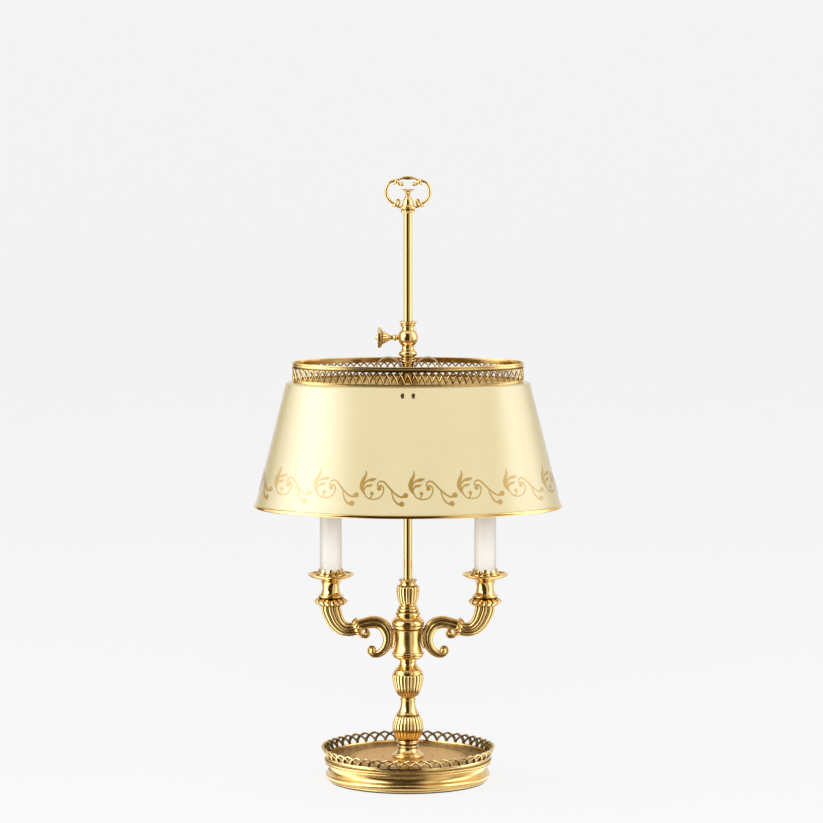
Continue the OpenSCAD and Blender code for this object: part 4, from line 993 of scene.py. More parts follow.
def cup_mesh(seat, ornament):
    """Leaf collar, ring, waisted neck and flare of a candle cup, about its own axis."""
    line = eased(seat.outline(
        [(0.6, 0), (0.7, 0.015), (0.86, 0.07), (0.97, 0.15), (1, 0.2), (0.975, 0.235),
         (0.86, 0.29), (0.77, 0.325)],
        [(0.70, 0.33), (0.70, 0.345)],
        [(0.735, 0.35), (0.765, 0.385), (0.735, 0.42)],
        [(0.66, 0.43), (0.6, 0.49), (0.545, 0.57), (0.515, 0.68), (0.53, 0.8), (0.6, 0.91),
         (0.72, 1)]), 0.2)
    count = ornament.cup_leaves
    bm = spin(spaced(line, 0.6) + [Vector((WIRE_WAY, seat.top)), Vector((WIRE_WAY, seat.foot))],
              count * 12, grooves=True)
    reed(bm, count, seat.foot + 0.05, seat.at(0.32), 1.7, seat.radius * 0.62, True, True)
    return bm


def pan_mesh(seat):
    """Dished drip pan with a rolled edge."""
    r, z, h = seat.radius, seat.foot, seat.height
    under = smooth([(r * 0.52, z), (r * 0.64, z + 0.7), (r * 0.8, z + 2.1),
                    (r * 0.94, z + h * 0.62), (r * 0.985, z + h - 1.1)], 5)
    edge = ring_arc((r - 0.65, z + h - 0.62), 0.62, -60, 150, 8)
    over = smooth([(r * 0.93, z + h * 0.78), (r * 0.8, z + 2.9), (r * 0.66, z + 1.6),
                   (r * 0.55, z + 1.25)], 5)
    return spin([(WIRE_WAY, z), *under, *edge, *over, (WIRE_WAY, z + 1.2)], ROUND)


def petal_cup_mesh(seat, sleeve_radius, ornament):
    """Belly and inward-leaning pointed petals round the foot of the candle sleeve."""
    z, h, r, wall = seat.foot, seat.height, seat.radius, 0.8
    tip, count = sleeve_radius + 0.35, ornament.petals
    outside = smooth([(r * 0.85, z), (r * 0.94, z + h * 0.12), (r, z + h * 0.32),
                      (r * 0.985, z + h * 0.5), (r * 0.9, z + h * 0.7), (tip + wall, z + h)], 5)
    inside = smooth([(tip, z + h), (r * 0.9 - wall, z + h * 0.68), (r - wall, z + h * 0.42),
                     (r * 0.93 - wall, z + h * 0.2), (sleeve_radius + 0.4, z + 1.2)], 5)
    bm = spin(spaced([(WIRE_WAY, z), *outside, *inside, (WIRE_WAY, z + 1.2)], 0.8), count * 16)
    recess = recess_of(bm)
    for vert in bm.verts:
        along = (vert.co.z - z) / h
        if along < 0.12 or vert.co.xy.length < sleeve_radius:
            continue
        gap = leaf_gap(vert, count)
        vert.co.z -= 3.6 * gap * max(0, along - 0.35) / 0.65
        vert.co.xy *= 1 - 0.05 * gap ** 1.5 * math.sin(math.pi * min(1, along))
        vert[recess] = 0.75 * gap ** 2
    return bm


def sleeve_mesh(seat, wall=1.1, edge=0.5):
    bore = seat.radius - wall
    return spin(eased([(bore, seat.foot), (seat.radius, seat.foot), (seat.radius, seat.top),
                       (bore, seat.top), (bore, seat.foot + 1)], edge))


def bulb_mesh(seat):
    """Candle-shaped bulb."""
    return spin(seat.outline([(0, 0), (0.39, 0)],
                             [(0.4, 0.005), (0.44, 0.06), (0.7, 0.19), (0.93, 0.33), (1, 0.46),
                              (0.93, 0.58), (0.72, 0.72), (0.44, 0.85), (0.2, 0.945),
                              (0.07, 0.988), (0, 1)]), 64, False)


def dress_candles(ornament):
    for side, sign in SIDES:
        sleeve = Seat("candle_sleeve_" + side)
        pieces = (
            ("cup_", "candle_cup_", "polished", lambda seat: cup_mesh(seat, ornament)),
            ("pan_", "drip_pan_", "polished", pan_mesh),
            ("petals_", "petal_cup_", "polished",
             lambda seat: petal_cup_mesh(seat, sleeve.radius, ornament)),
            ("sleeve_", "candle_sleeve_", "ivory", sleeve_mesh),
            ("bulb_", "bulb_glass_", "opal", bulb_mesh))
        for name, node, look, shape in pieces:
            bm = shape(Seat(node + side))
            move(bm, Matrix.Translation((sleeve.x, 0, 0)))
            finished(name + side, bm, node + side, look=look)


# ---- Finial ----

def dress_finial_collar():
    """Turned collar with a skirt of small leaves."""
    seat, leaves = Seat("finial_collar"), 10
    line = eased(seat.outline([(0.74, 0), (0.9, 0.1), (1, 0.4), (0.98, 0.62), (0.9, 0.82)],
                              [(0.84, 0.86), (0.9, 0.92), (0.86, 1)]), 0.15)
    ceiling = seat.top - 1.5
    bm = spin([*spaced(line, 0.4), Vector((0, seat.top)), Vector((0, ceiling)),
               Vector((MAST_BORE, ceiling)), Vector((MAST_BORE, seat.foot))], 120, grooves=True)
    reed(bm, leaves, seat.foot + 0.3, seat.at(0.85), 0.7, MAST_BORE + 0.6)
    for out in spokes(leaves, 0.5):
        leaf(bm, Vector((0, 0, seat.foot + 2.2)) + out * 6.4,
             Vector((0, 0, seat.foot + 0.05)) + out * 8.3, 1.5, 0.5, out * 0.5)
    finished("finial_leaf_collar", bm, "finial_collar")


def dress_baluster():
    """Bell, bulb and waist, with a flare of six leaves on top."""
    seat = Seat("finial_baluster")
    seat.radius = 9.2
    line = eased(seat.outline(
        [(0.87, 0), (0.98, 0.03), (1, 0.07), (0.97, 0.12), (0.84, 0.175)],
        [(0.78, 0.18), (0.78, 0.205)],
        [(0.73, 0.22), (0.66, 0.34), (0.585, 0.45), (0.46, 0.55), (0.34, 0.62)],
        [(0.36, 0.63), (0.36, 0.65)],
        [(0.29, 0.66), (0.28, 0.72), (0.35, 0.82), (0.52, 0.9), (0.84, 0.965), (0.9, 0.99)],
        [(0.86, 1), (0.6, 0.985)], [(0.25, 0.96), (0, 0.97)]), 0.12)
    bm = spin(spaced([(0, seat.foot), *line], 0.5), 120, False, True)
    petal(bm, 6, seat.at(0.72), seat.top, 4.6, 1.0, 0.8, 1.6)
    ball(bm, Vector((0, 0, seat.top - 0.9)), 1.7, (1, 1, 0.75), 16)
    finished("finial_bell", bm, "finial_baluster")


def handle_half(seat):
    """The right-hand half of the ring handle: loop, curls, leaves and beads."""
    bm, wire = new_mesh(), seat.radius * 0.06

    def at(x, down):
        return Vector((x, 0, seat.top - down))

    def bar(points, cuts, radii, count=12):
        """A bar whose radius follows a function of the share of its length."""
        line = smooth([at(*p) for p in points], cuts)
        take_in(bm, rod(line, [radii(i, len(line)) for i in range(len(line))], count))

    bar([(12.2, 6.6), (15.5, 6.2), (19.6, 7.3), (23, 11.2), (24.55, 17.2), (24.3, 21.8),
         (22.3, 26.0), (19.2, 29.3), (15.8, 31.9), (12.4, 34.1), (9.4, 35.5), (6, 35.9)], 6,
        lambda i, n: wire * (0.8 + 0.45 * math.sin(math.pi * i / (n - 1))))
    bar([(9.8, 4.3), (11.2, 5.6), (11.3, 7.9), (9.4, 9.8), (7.0, 10.3)], 5,
        lambda i, n: 1.3 + 0.6 * i / n)
    ball(bm, at(6.9, 9.4), 2.5)
    ball(bm, at(12.9, 6.9), 2.3, (1.2, 1, 1))
    leaf(bm, at(14.2, 8.2), at(10.6, 3.0), 2.2, 1.0, Vector((0.9, 0, 0.9)))
    leaf(bm, at(12.0, 6.2), at(16.8, 10.4), 2.2, 1.0, Vector((-0.3, 0, -1.1)))
    leaf(bm, at(12.6, 6), at(18.2, 5.2), 2.0, 1.0, Vector((0.2, 0, 1.0)))
    for lean in (-1, 1):
        leaf(bm, at(12.6, 33.8), at(19.4, 31.0 + 2.6 * lean), 2.1, 1.0,
             Vector((0.2, 0, -0.9 * lean)))
    ball(bm, at(14, 33.0), 2.5, (1.15, 1, 0.9))
    bar([(11.6, 34.2), (10.4, 31.4), (9.6, 28.7), (11.2, 27.1), (12.9, 28.4), (12.2, 30.2)], 5,
        lambda i, n: 1.7 - 0.5 * i / n, 10)
    ball(bm, at(11.4, 29), 1.6)
    bar([(8, 36.1), (4, 35.6), (0, 35.4)], 4, lambda i, n: 1.2, 10)
    return bm


def dress_ring_handle():
    seat = Seat("ring_handle")
    bm = new_mesh()
    for sign in (1, -1):
        half = handle_half(seat)
        stand_on_x(half, sign)
        take_in(bm, half)
    grip = smooth([(-10.2, 4.5, 0.75), (-8, 3.4, 1.15), (-4.5, 2.6, 1.85), (0, 2.5, 2.25),
                   (4.5, 2.6, 1.85), (8, 3.4, 1.15), (10.2, 4.5, 0.75)], 5)
    made = [horn_section(p[2], 8, 0.28, 1.0, 4) for p in grip]
    take_in(bm, toned_sweep([(p[0], 0, seat.top - p[1]) for p in grip],
                            [(points, [t * 0.6 for t in tones]) for points, tones in made]))
    finished("ring_handle_wire", bm, "ring_handle", sharp=50)


# ---- Slider and clamp ----

SLIDER_NECK, COLLAR_BORE, NOZZLE_BORE = 6.85, 5.9, 5.3


def dress_slider():
    """Ball with its neck and its beaded mouth."""
    seat, clamp = Seat("slider_collar"), Seat("clamp_pad").z
    bore, n = COLLAR_BORE, SLIDER_NECK
    turn = math.degrees(math.asin((n + 0.2) / seat.radius))
    up, down = seat.top - clamp, clamp - seat.foot
    outline = [
        (bore, -down), (n + 0.5, -down), (n + 0.55, -down + 0.9), (n + 0.15, -down + 1.5),
        *ring_arc((0, 0), seat.radius, turn - 90, 90 - turn, 30),
        (n, up - 7.4), (n + 0.1, up - 6.4), (n + 1.3, up - 6.1),
        *ring_arc((n + 1.0, up - 5.1), 0.85, -70, 70, 6), (n + 0.9, up - 4),
        *ring_arc((n + 1.1, up - 3.1), 0.8, -75, 65, 6),
        (n + 1.3, up - 2.2), (n + 2.4, up - 1.6), (n + 3, up - 1), (n + 3, up - 0.25),
        (n + 2.7, up), (bore, up)]
    bm = spin(eased([(p[0], p[1] + clamp) for p in outline], 0.15), ROUND, grooves=True)
    for out in spokes(24):
        ball(bm, out * (n + 2.55) + Vector((0, 0, seat.top - 1.55)), 0.62, segments=8)
    finished("slider_ball", bm, "slider_collar", body="shade")


def dress_nozzle():
    """Rings under the ball, a skirt of leaves and the nozzle that the straps hold."""
    seat = Seat("slider_base")
    z, n, bore = seat.top, SLIDER_NECK, NOZZLE_BORE
    nozzle, flange, bar_top = bore + 0.8, bore + 2.0, Seat("carrier_straps").foot
    bush_foot = Seat("guide_bush").foot
    bm = spin(eased([
        (bore, seat.foot), (nozzle, seat.foot), (nozzle, bar_top), (flange, bar_top),
        (flange, bar_top + 2.1), (flange - 0.4, bar_top + 2.6), (nozzle, bar_top + 3.2),
        (nozzle, z - 16.4), (n + 0.2, z - 15.6), (n + 0.4, z - 14.2), (n + 1.4, z - 13.5),
        *ring_arc((n + 1.75, z - 12.4), 0.85, -75, 80, 6), (n + 1, z - 11.2),
        *ring_arc((n + 0.6, z - 9.5), 1.15, -70, 70, 7), (n + 0.5, z - 8),
        *ring_arc((n + 0.5, z - 4.3), 3.2, -75, 78, 14),
        (n + 0.6, z - 0.9), (n + 0.9, z - 0.5), (n + 0.9, z), (COLLAR_BORE, z),
        (COLLAR_BORE, bush_foot), (bore, bush_foot)], 0.15), ROUND, grooves=True)
    for out in spokes(8, 0.5):
        leaf(bm, Vector((0, 0, z - 13.6)) + out * (n + 0.2),
             Vector((0, 0, z - 16)) + out * (n + 2.3), 1.3, 0.5, out * 0.8)
    finished("slider_nozzle", bm, "slider_base", body="shade")


def thumb_outline(reach, disc_radius, tip, neck):
    """Outline of the clamp screw from its thread to its pip, along its own axis."""
    disc, d, e = reach - 6.6, reach - 3 - neck, disc_radius
    return eased([
        (0, tip), (2.5, tip), (2.5, neck),
        *smooth([(2.7, neck), (3.6, neck + d * 0.05), (3.75, neck + d * 0.1),
                 (3.1, neck + d * 0.17), (2.2, neck + d * 0.22)], 4),
        *smooth([(2.0, neck + d * 0.24), (2.6, neck + d * 0.3), (3.8, neck + d * 0.42),
                 (5.3, neck + d * 0.54), (6.9, neck + d * 0.68), (7.9, disc - 2.4)], 5),
        (7.2, disc - 2.2), (7.2, disc - 1.7), (9.3, disc - 1.5), (9.8, disc - 1),
        (9.8, disc - 0.4), (9.1, disc), (e - 0.5, disc), (e, disc + 0.4), (e, reach - 3.5),
        (e - 0.5, reach - 3), (e - 1.8, reach - 3), (e - 2.3, reach - 3.4), (3.4, reach - 3.5),
        (2.8, reach - 2.8), (2.3, reach - 1.8), (1.9, reach - 0.7), (1.2, reach - 0.1),
        (0, reach)], 0.2)


def dress_thumb_screw():
    """Fluted trumpet and disc of the clamp screw, turned about X."""
    seat, neck, flutes = Seat("thumb_screw"), Seat("slider_collar").radius + 1, 12
    reach = -seat.low.x
    line = thumb_outline(reach, seat.height / 2, -Seat("clamp_pad").low.x, neck)
    bm = spin(spaced(line, 0.5), flutes * 10, False, True)
    reed(bm, flutes, neck + (reach - neck) * 0.24, reach - 9.1, 0.75, 1.5, False)
    reed(bm, 30, reach - 8.2, reach - 6.7, 0.5, 8.6, False)
    move(bm, Matrix.Translation((0, 0, seat.z)) @ Matrix.Rotation(-TURN / 4, 4, "Y"))
    finished("clamp_screw", bm, "thumb_screw", body="thumb_screw")


def dress_straps():
    """The two arched straps beside the nozzle, of strip with rounded edges."""
    seat = Seat("carrier_straps")
    width, thick, radius, lip = seat.high.y - seat.low.y, 1.2, 14.6, 0.22
    u, v = width / 2, thick / 2
    middle, bend = seat.high.x - radius, radius - v
    path = [(middle + bend, 0, seat.foot),
            *((p[0] + middle, 0, p[1] + seat.top - radius)
              for p in ring_arc((0, 0), bend, 0, 180, 32)),
            (middle - bend, 0, seat.foot)]
    section = [(u, -v + lip), (u, v - lip), (u - lip, v), (u - 1.2, v), (u - 1.6, v - 0.3),
               (-u + 1.6, v - 0.3), (-u + 1.2, v), (-u + lip, v), (-u, v - lip), (-u, -v + lip),
               (-u + lip, -v), (u - lip, -v)]
    tones = [0.3, 0.05, 0, 0.1, 0.75, 0.75, 0.1, 0, 0.05, 0.3, 0.8, 0.8]
    bm = new_mesh()
    for sign in (1, -1):
        strap = toned_sweep(path, [(section, tones)] * len(path))
        stand_on_x(strap, sign)
        take_in(bm, strap)
    finished("arched_straps", bm, "carrier_straps", look="satin", body="shade",
             slot="polished_brass")


# ---- Shade ----

class Oval:
    """The shade's plan: half axes at the shoulder, and the ovals that follow from them."""

    def __init__(self):
        gallery_seat, rim = Seat("shade_gallery"), Seat("shade_low_rim")
        self.top, self.foot = Seat("shade_shoulder").top, rim.z
        self.low_a, self.low_b = rim.high.x - 1.5, rim.high.y - 1.5
        self.gallery_a, self.gallery_b = gallery_seat.high.x, gallery_seat.high.y
        self.a, self.b = self.gallery_a + 8, self.gallery_b + 8
        self.bend = Seat("shade_shell").top
        self.slope = (self.low_a - self.a) / (self.bend - self.foot)


def wrap_oval(bm, a, b):
    """Stretches a ring that was turned at the radius RING into an oval."""
    for vert in bm.verts:
        angle = math.atan2(vert.co.y, vert.co.x)
        vert.co.x += (a - RING) * math.cos(angle)
        vert.co.y += (b - RING) * math.sin(angle)


class OvalWalk:
    """Turns a distance round an oval into an angle."""

    def __init__(self, a, b, steps=1440):
        self.stops, self.round = [(0.0, 0.0)], 0.0
        before = Vector((a, 0))
        for k in range(1, steps + 1):
            angle = TURN * k / steps
            here = Vector((a * math.cos(angle), b * math.sin(angle)))
            self.round += (here - before).length
            self.stops.append((self.round, angle))
            before = here

    def angle_at(self, distance):
        turns, distance = divmod(distance, self.round)
        low, high = 0, len(self.stops) - 1
        while high - low > 1:
            middle = (low + high) // 2
            if self.stops[middle][0] <= distance:
                low = middle
            else:
                high = middle
        (start, first), (end, last) = self.stops[low], self.stops[high]
        return first + (distance - start) / (end - start) * (last - first) + turns * TURN


def dress_shell(oval):
    """Flared wall, round shoulder and turned-in lip of one sheet, with a gold lining."""
    wall, lip, r = 0.8, 10, RING
    bend, top, foot = oval.bend, oval.top, oval.foot + 1.75
    reach = oval.slope * (bend - foot)
    bm = spin([
        *spaced([(r + reach, foot), (r, bend)], 12),
        *smooth([(r, bend), (r - 0.5, bend + 1.9), (r - 1.9, bend + 3.4), (r - 4.2, top)],
                5)[1:],
        (r - lip, top), (r - lip, top - wall),
        *smooth([(r - 4.2, top - wall), (r - 2.1, bend + 2.6), (r - wall - 0.35, bend + 1.3),
                 (r - wall, bend)], 5),
        *spaced([(r - wall, bend), (r + reach - wall, foot)], 12)[1:]], OVAL_STEPS)
    for face in bm.faces:
        centre = face.calc_center_median()
        out = Vector((centre.x, centre.y, 0)).normalized()
        face.material_index = int(face.normal.dot(out + Vector((0, 0, 0.8))) < 0
                                  and centre.z > foot + 0.2)
    wrap_oval(bm, oval.a, oval.b)
    finished("shade_wall", bm, "shade_shell", "shade_shoulder", look="enamel lining",
             body="shade", slot="cream_enamel")


def dress_rims(oval):
    """Rolled lower rim, and the beaded upper rim over the gallery."""
    rolled = [(p[0], oval.foot + (p[1] - oval.foot) * 1.2)
              for p in ring_arc((RING - 0.4, oval.foot), 1.9, 0, 345, 23)]
    low = spin(rolled, OVAL_STEPS)
    wrap_oval(low, oval.low_a, oval.low_b)
    finished("lower_rim", low, "shade_low_rim", body="shade")
    top, r = Seat("shade_top_rim").top, RING
    rim = spin([
        *ring_arc((r - 0.45, top - 1.0), 1.0, -50, 235, 14),
        (r - 1.5, top - 2.2), (r - 1.5, top - 5.2), (r - 0.6, top - 5.2), (r - 0.6, top - 6.4),
        (r - 0.1, top - 6.4), (r + 0.15, top - 5.9), (r - 0.1, top - 5.2), (r - 0.1, top - 4.6),
        *ring_arc((r - 0.55, top - 3.2), 1.15, -70, 70, 8), (r - 0.45, top - 1.95)], OVAL_STEPS)
    for vert in rim.verts:
        down, out = top - vert.co.z, vert.co.xy.length - RING
        if out > -0.5 and (down > 4.4 or 1.8 < down < 2.1):
            vert[recess_of(rim)] = 1.0
    wrap_oval(rim, oval.gallery_a, oval.gallery_b)
    finished("upper_rim", rim, "shade_top_rim", body="shade")


def dress_shade_gallery(oval, ornament):
    """Interlaced pointed arches between a moulded foot band and the upper rim."""
    seat, walk = Seat("shade_gallery"), OvalWalk(oval.gallery_a, oval.gallery_b)
    count, band, thick, rim = ornament.shade_arches, 2.9, 0.8, 3.4
    pitch = walk.round / count
    # The strands are painted darker, darkest on their undersides: painted shade
    strand = arch_strand(LOW_ARCH, pitch, seat.height - band - rim, ornament.shade_strand / MM,
                         thick, 2, (0.7, 0.3, 0.3, 0.3, 0.3, 0.7, 1, 1))
    in_a_row(strand, count, pitch)
    for vert in strand.verts:
        angle = walk.angle_at(vert.co.x)
        inset = thick / 2 + 0.1 - vert.co.y
        vert.co = ((oval.gallery_a - inset) * math.cos(angle),
                   (oval.gallery_b - inset) * math.sin(angle), seat.foot + band + vert.co.z)
    r, z = RING, seat.foot
    bm = spin(eased([
        (r - 1, z), (r + 0.3, z), (r + 0.35, z + 0.7), (r - 0.05, z + 1.1), (r - 0.05, z + 2.1),
        (r + 0.15, z + 2.4), (r + 0.1, z + band), (r - 1, z + band)], 0.15), OVAL_STEPS)
    # The foot band is painted a little darker all round
    for vert in bm.verts:
        vert[recess_of(bm)] = 0.35
    wrap_oval(bm, oval.gallery_a, oval.gallery_b)
    finished("shade_gallery_strands", gallery(bm, strand), "shade_gallery", body="shade")


def dress_screws(oval):
    """Round-headed screws with a hollow head painted black inside as painted shade, square to the
    leaning wall.
    """
    seat = Seat("shade_screws")
    gap, screw_z = seat.high.x - seat.low.x - 5.0, 447.0
    wall = oval.b + (oval.bend - screw_z) * oval.slope
    bm = new_mesh()
    for turn, y in ((math.pi, -wall), (0, wall)):
        for side in (-1, 1):
            screw = spin([
                *smooth([(0, -5), (1.5, -5)], 1),
                *smooth([(1.5, 0.05), (3.1, 0.1), (3.15, 0.5), (2.7, 0.95), (2.2, 0.8)], 3),
                *smooth([(2.0, 0.35), (1.85, 0.75), (1.4, 1.15), (0.7, 1.35), (0, 1.4)], 3)],
                32, False)
            # The hollow of each head is painted black, in flat black and in the recess layer:
            # painted shade
            for vert in screw.verts:
                hollow = vert.co.xy.length < 2.15 and vert.co.z > 0
                vert[recess_of(screw)] = 1.0 if hollow else 0.0
            for face in screw.faces:
                face.material_index = int(face.calc_center_median().xy.length > 2.1)
            take_in(bm, screw, Matrix.Translation((side * gap / 2, y, screw_z))
                    @ Matrix.Rotation(turn, 4, "Z")
                    @ Matrix.Rotation(math.atan(oval.slope) - TURN / 4, 4, "X"))
    finished("shade_screw_heads", bm, "shade_screws", look="rubber polished", body="shade",
             slot="polished_brass")


# ---- Stencilled border ----

# Each stroke's widths, then its points: across and up, in shares of the motif's height
STROKES = (
    ((0.012, 0.06, 0.1, 0.125, 0.115, 0.075, 0.035),
     ((0.107, 1.0), (0.12, 0.88), (0.06, 0.74), (0.027, 0.62), (0.03, 0.52), (0.07, 0.42),
      (0.1, 0.36))),
    ((0.02, 0.04, 0.065, 0.09, 0.075, 0.01),
     ((0.06, 0.52), (0.11, 0.65), (0.19, 0.715), (0.28, 0.735), (0.35, 0.75), (0.42, 0.78))),
    ((0.02, 0.04, 0.06, 0.075, 0.06, 0.01),
     ((0.09, 0.38), (0.11, 0.5), (0.17, 0.565), (0.23, 0.575), (0.28, 0.59), (0.33, 0.62))),
    ((0.045, 0.038, 0.034, 0.034, 0.036, 0.036, 0.038, 0.042, 0.05, 0.06),
     ((0.09, 0.4), (0.16, 0.28), (0.25, 0.22), (0.38, 0.205), (0.52, 0.25), (0.6, 0.35),
      (0.63, 0.47), (0.6, 0.55), (0.54, 0.58), (0.49, 0.54))),
    ((0.04, 0.034, 0.036, 0.06), ((0.25, 0.22), (0.3, 0.27), (0.33, 0.33), (0.31, 0.37))),
    ((0.04, 0.04, 0.045, 0.048, 0.05, 0.05, 0.05, 0.055, 0.06),
     ((0.455, 0.56), (0.47, 0.66), (0.54, 0.7), (0.63, 0.68), (0.73, 0.58), (0.84, 0.46),
      (0.97, 0.34), (1.1, 0.27), (1.2, 0.29))),
    ((0.02, 0.036, 0.045, 0.052, 0.06),
     ((0.84, 0.46), (0.865, 0.33), (0.92, 0.19), (1.01, 0.09), (1.1, 0.06))),
)
KNOBS = ((0.505, 0.5, 0.062), (0.315, 0.365, 0.05), (1.225, 0.315, 0.072), (1.125, 0.08, 0.074))


def flat_stroke(bm, points, widths, height):
    """A painted stroke on the XZ plane whose width swells and thins along its line."""
    line, swell = smooth(points, 5), smooth([(w, 0) for w in widths], 5)
    last, most = len(line) - 1, len(swell) - 1
    ring = []
    for i, p in enumerate(line):
        heading = (line[min(i + 1, last)] - line[max(i - 1, 0)]).normalized()
        half = swell[min(round(i * most / last), most)].x / 2
        side = Vector((-heading.y, heading.x)) * max(half, 0.004)
        ring.append([bm.verts.new((q.x * height, 0, q.y * height)) for q in (p + side, p - side)])
    for (a, b), (d, c) in zip(ring, ring[1:]):
        bm.faces.new((a, b, c, d))


def motif_mesh(height):
    """One leaf scroll of the border, flat and thin."""
    bm = new_mesh()
    for widths, points in STROKES:
        flat_stroke(bm, points, widths, height)
    for x, z, radius in KNOBS:
        dot = bmesh.ops.create_circle(bm, cap_ends=True, segments=16, radius=radius * height)
        bmesh.ops.transform(bm, verts=dot["verts"], matrix=Matrix.Translation(
            (x * height, 0, z * height)) @ Matrix.Rotation(TURN / 4, 4, "X"))
    bmesh.ops.recalc_face_normals(bm, faces=bm.faces)
    return bm


def dress_stencil(oval, ornament):
    """Leaf scrolls laid round the lower edge of the shade, a paint's thickness proud."""
    height, thick, proud = 41.0, 0.08, 0.03
    foot, drop = ornament.motif_lift / MM, oval.bend - oval.foot
    wall = math.hypot(1, oval.slope)
    spread = oval.slope * drop - oval.slope * (foot + height / 2) / wall
    walk = OvalWalk(oval.a + spread, oval.b + spread)
    pitch = walk.round / ornament.motifs
    start = -walk.round / 4 + 0.5 * pitch
    border = motif_mesh(height)
    in_a_row(border, ornament.motifs, pitch)
    back = bmesh.ops.duplicate(border, geom=everything(border))["geom"]
    for vert in only(back, "BMVert"):
        vert.co.y = thick
    bmesh.ops.reverse_faces(border, faces=only(back, "BMFace"))
    for vert in border.verts:
        angle = walk.angle_at(vert.co.x + start - 0.62 * height)
        rise = (vert.co.z + foot) / wall
        out = oval.slope * (drop - rise) + proud + vert.co.y
        vert.co = ((oval.a + out) * math.cos(angle), (oval.b + out) * math.sin(angle),
                   oval.foot + rise)
    finished("stencil_border", border, look="stencil", body="shade", slot="polished_brass")


# ---- Stage ----

# What mirrors see round the lamp, bright panels and dark gaps: the stops go round from the
# left, through the front at 0.25 and the right at 0.5
DARK, WARM, DIM = (0.055, 0.036, 0.02), (0.6, 0.53, 0.42), (0.3, 0.24, 0.16)
TENT_TONES = (
    (0.0, 1.5), (0.015, 2.8), (0.1, 2.8), (0.12, 1.2), (0.137, 1.1), (0.15, DARK),
    (0.29, DARK), (0.31, (0.7, 0.62, 0.5)), (0.345, 1.1), (0.37, WARM), (0.4, WARM),
    (0.43, 1.1), (0.46, 2.3), (0.51, 2.3), (0.54, 1.0), (0.6, (0.7, 0.65, 0.55)), (0.63, 0.9),
    (0.86, 0.9), (0.885, DIM), (0.935, DIM), (0.96, 1.2))
# Lights: centre, width and height, watts, and whether only mirrors see it
LIGHTS = {
    "front_box": ((-0.1, -3.2, 1.5), (2.4, 1.8), 60, False),
    "left_box": ((-2.4, -0.8, 2.2), (1.6, 1.6), 2, False),
    "top_box": ((-0.5, 0.2, 2.6), (1.8, 1.4), 14, False),
    "right_box": ((2.4, -0.6, 1.6), (1.2, 1.6), 5, False),
    "left_panel": ((-2.1, -1.76, 1.65), (1.9, 1.3), 19, True),
    "right_panel": ((2.46, -1.2, 1.65), (0.95, 1.5), 8.5, True),
}


def paper_look(tone, shading=0.15):
    """A pale surface that cameras and mirrors see at its own colour, with soft shadows."""
    look = Look("paper")
    plain = look.link(look.add("ShaderNodeBsdfDiffuse", {}, {"Color": tone}))
    return look.output(look.link(look.add("ShaderNodeMixShader", {}, {
        0: look.seen(1 - shading), 1: plain, 2: look.glow(tone)})))


def tent_look():
    look = Look("tent")
    round_about = look.link(look.add("ShaderNodeTexGradient", {"gradient_type": "RADIAL"},
                                     {"Vector": look.place()}))
    tone = look.link(look.add("ShaderNodeValToRGB", {"stops": TENT_TONES}, {0: round_about}))
    look.material.cycles.emission_sampling = "NONE"
    return look.output(look.glow(tone))


def stage_object(name, bm, material):
    thing = mesh_object(name, bm, material)
    return thing


def set_backdrop(stage):
    """Floor that curves up into a backdrop, all in one sheet."""
    half, front, back, height, bend = 9.0, -9.0, 7.0, 6.0, 1.2
    line = [(front, 0.0), (back - bend, 0.0),
            *ring_arc((back - bend, bend), bend, -84, 0, 14), (back, height)]
    bm = bmesh.new()
    verts = [bm.verts.new((-half, y, z)) for y, z in line]
    edges = [bm.edges.new(ends) for ends in zip(verts, verts[1:])]
    grown = bmesh.ops.extrude_edge_only(bm, edges=edges)["geom"]
    bmesh.ops.translate(bm, vec=(2 * half, 0, 0), verts=only(grown, "BMVert"))
    bmesh.ops.recalc_face_normals(bm, faces=bm.faces)
    stage_object("floor_and_backdrop", bm, paper_look(stage.backdrop))


def set_tent():
    """Floor ring and wall round the lamp that only reflections see."""
    inner, outer, low, high = 0.101, 3.6, 0.001, 5.0
    tent = stage_object("tent", spin([(inner, low), (outer, low), (outer, high)], 180, False),
                        tent_look())
    tent.visible_camera = tent.visible_diffuse = tent.visible_shadow = False
    tent.visible_transmission = tent.visible_volume_scatter = False


def set_light(name, centre, size, watts, gloss_only, aim=(0, 0, 0.35)):
    lamp = bpy.data.lights.new(name, "AREA")
    lamp.shape = "RECTANGLE"
    lamp.size, lamp.size_y = size
    lamp.energy = watts
    thing = bpy.data.objects.new(name, lamp)
    thing.location = centre
    thing.rotation_euler = (Vector(aim) - Vector(centre)).to_track_quat("-Z", "Y").to_euler()
    thing.visible_camera = False
    thing.visible_glossy, thing.visible_diffuse = gloss_only, not gloss_only
    bpy.context.scene.collection.objects.link(thing)


def set_world(stage):
    """Pale surroundings for the camera and for mirrors, a dimmer dome for diffuse light."""
    dome, look = 0.42, Look("studio", bpy.data.worlds.new("studio"))
    look.output(look.link(look.add("ShaderNodeBackground", {}, {
        "Color": stage.backdrop, "Strength": dome + look.seen() * (1 - dome)})),
        "ShaderNodeOutputWorld")
    bpy.context.scene.world = look.material


def set_camera(stage):
    lens = bpy.data.cameras.new("camera")
    lens.lens, lens.sensor_width, lens.clip_end = stage.camera_lens, 36, 60
    camera = bpy.data.objects.new("camera", lens)
    camera.location = (stage.camera_side, -stage.camera_back, stage.camera_up)
    camera.rotation_euler = (math.pi / 2 - stage.camera_tilt, 0, 0)
    bpy.context.scene.collection.objects.link(camera)
    bpy.context.scene.camera = camera


# ---- Operators ----

class LAMP_OT_camera(bpy.types.Operator):
    """Place the camera in front of the lamp"""
    bl_idname = "lamp.camera"
    bl_label = "Camera"

    def execute(self, context):
        set_camera(context.scene.lamp_stage)
        return {"FINISHED"}


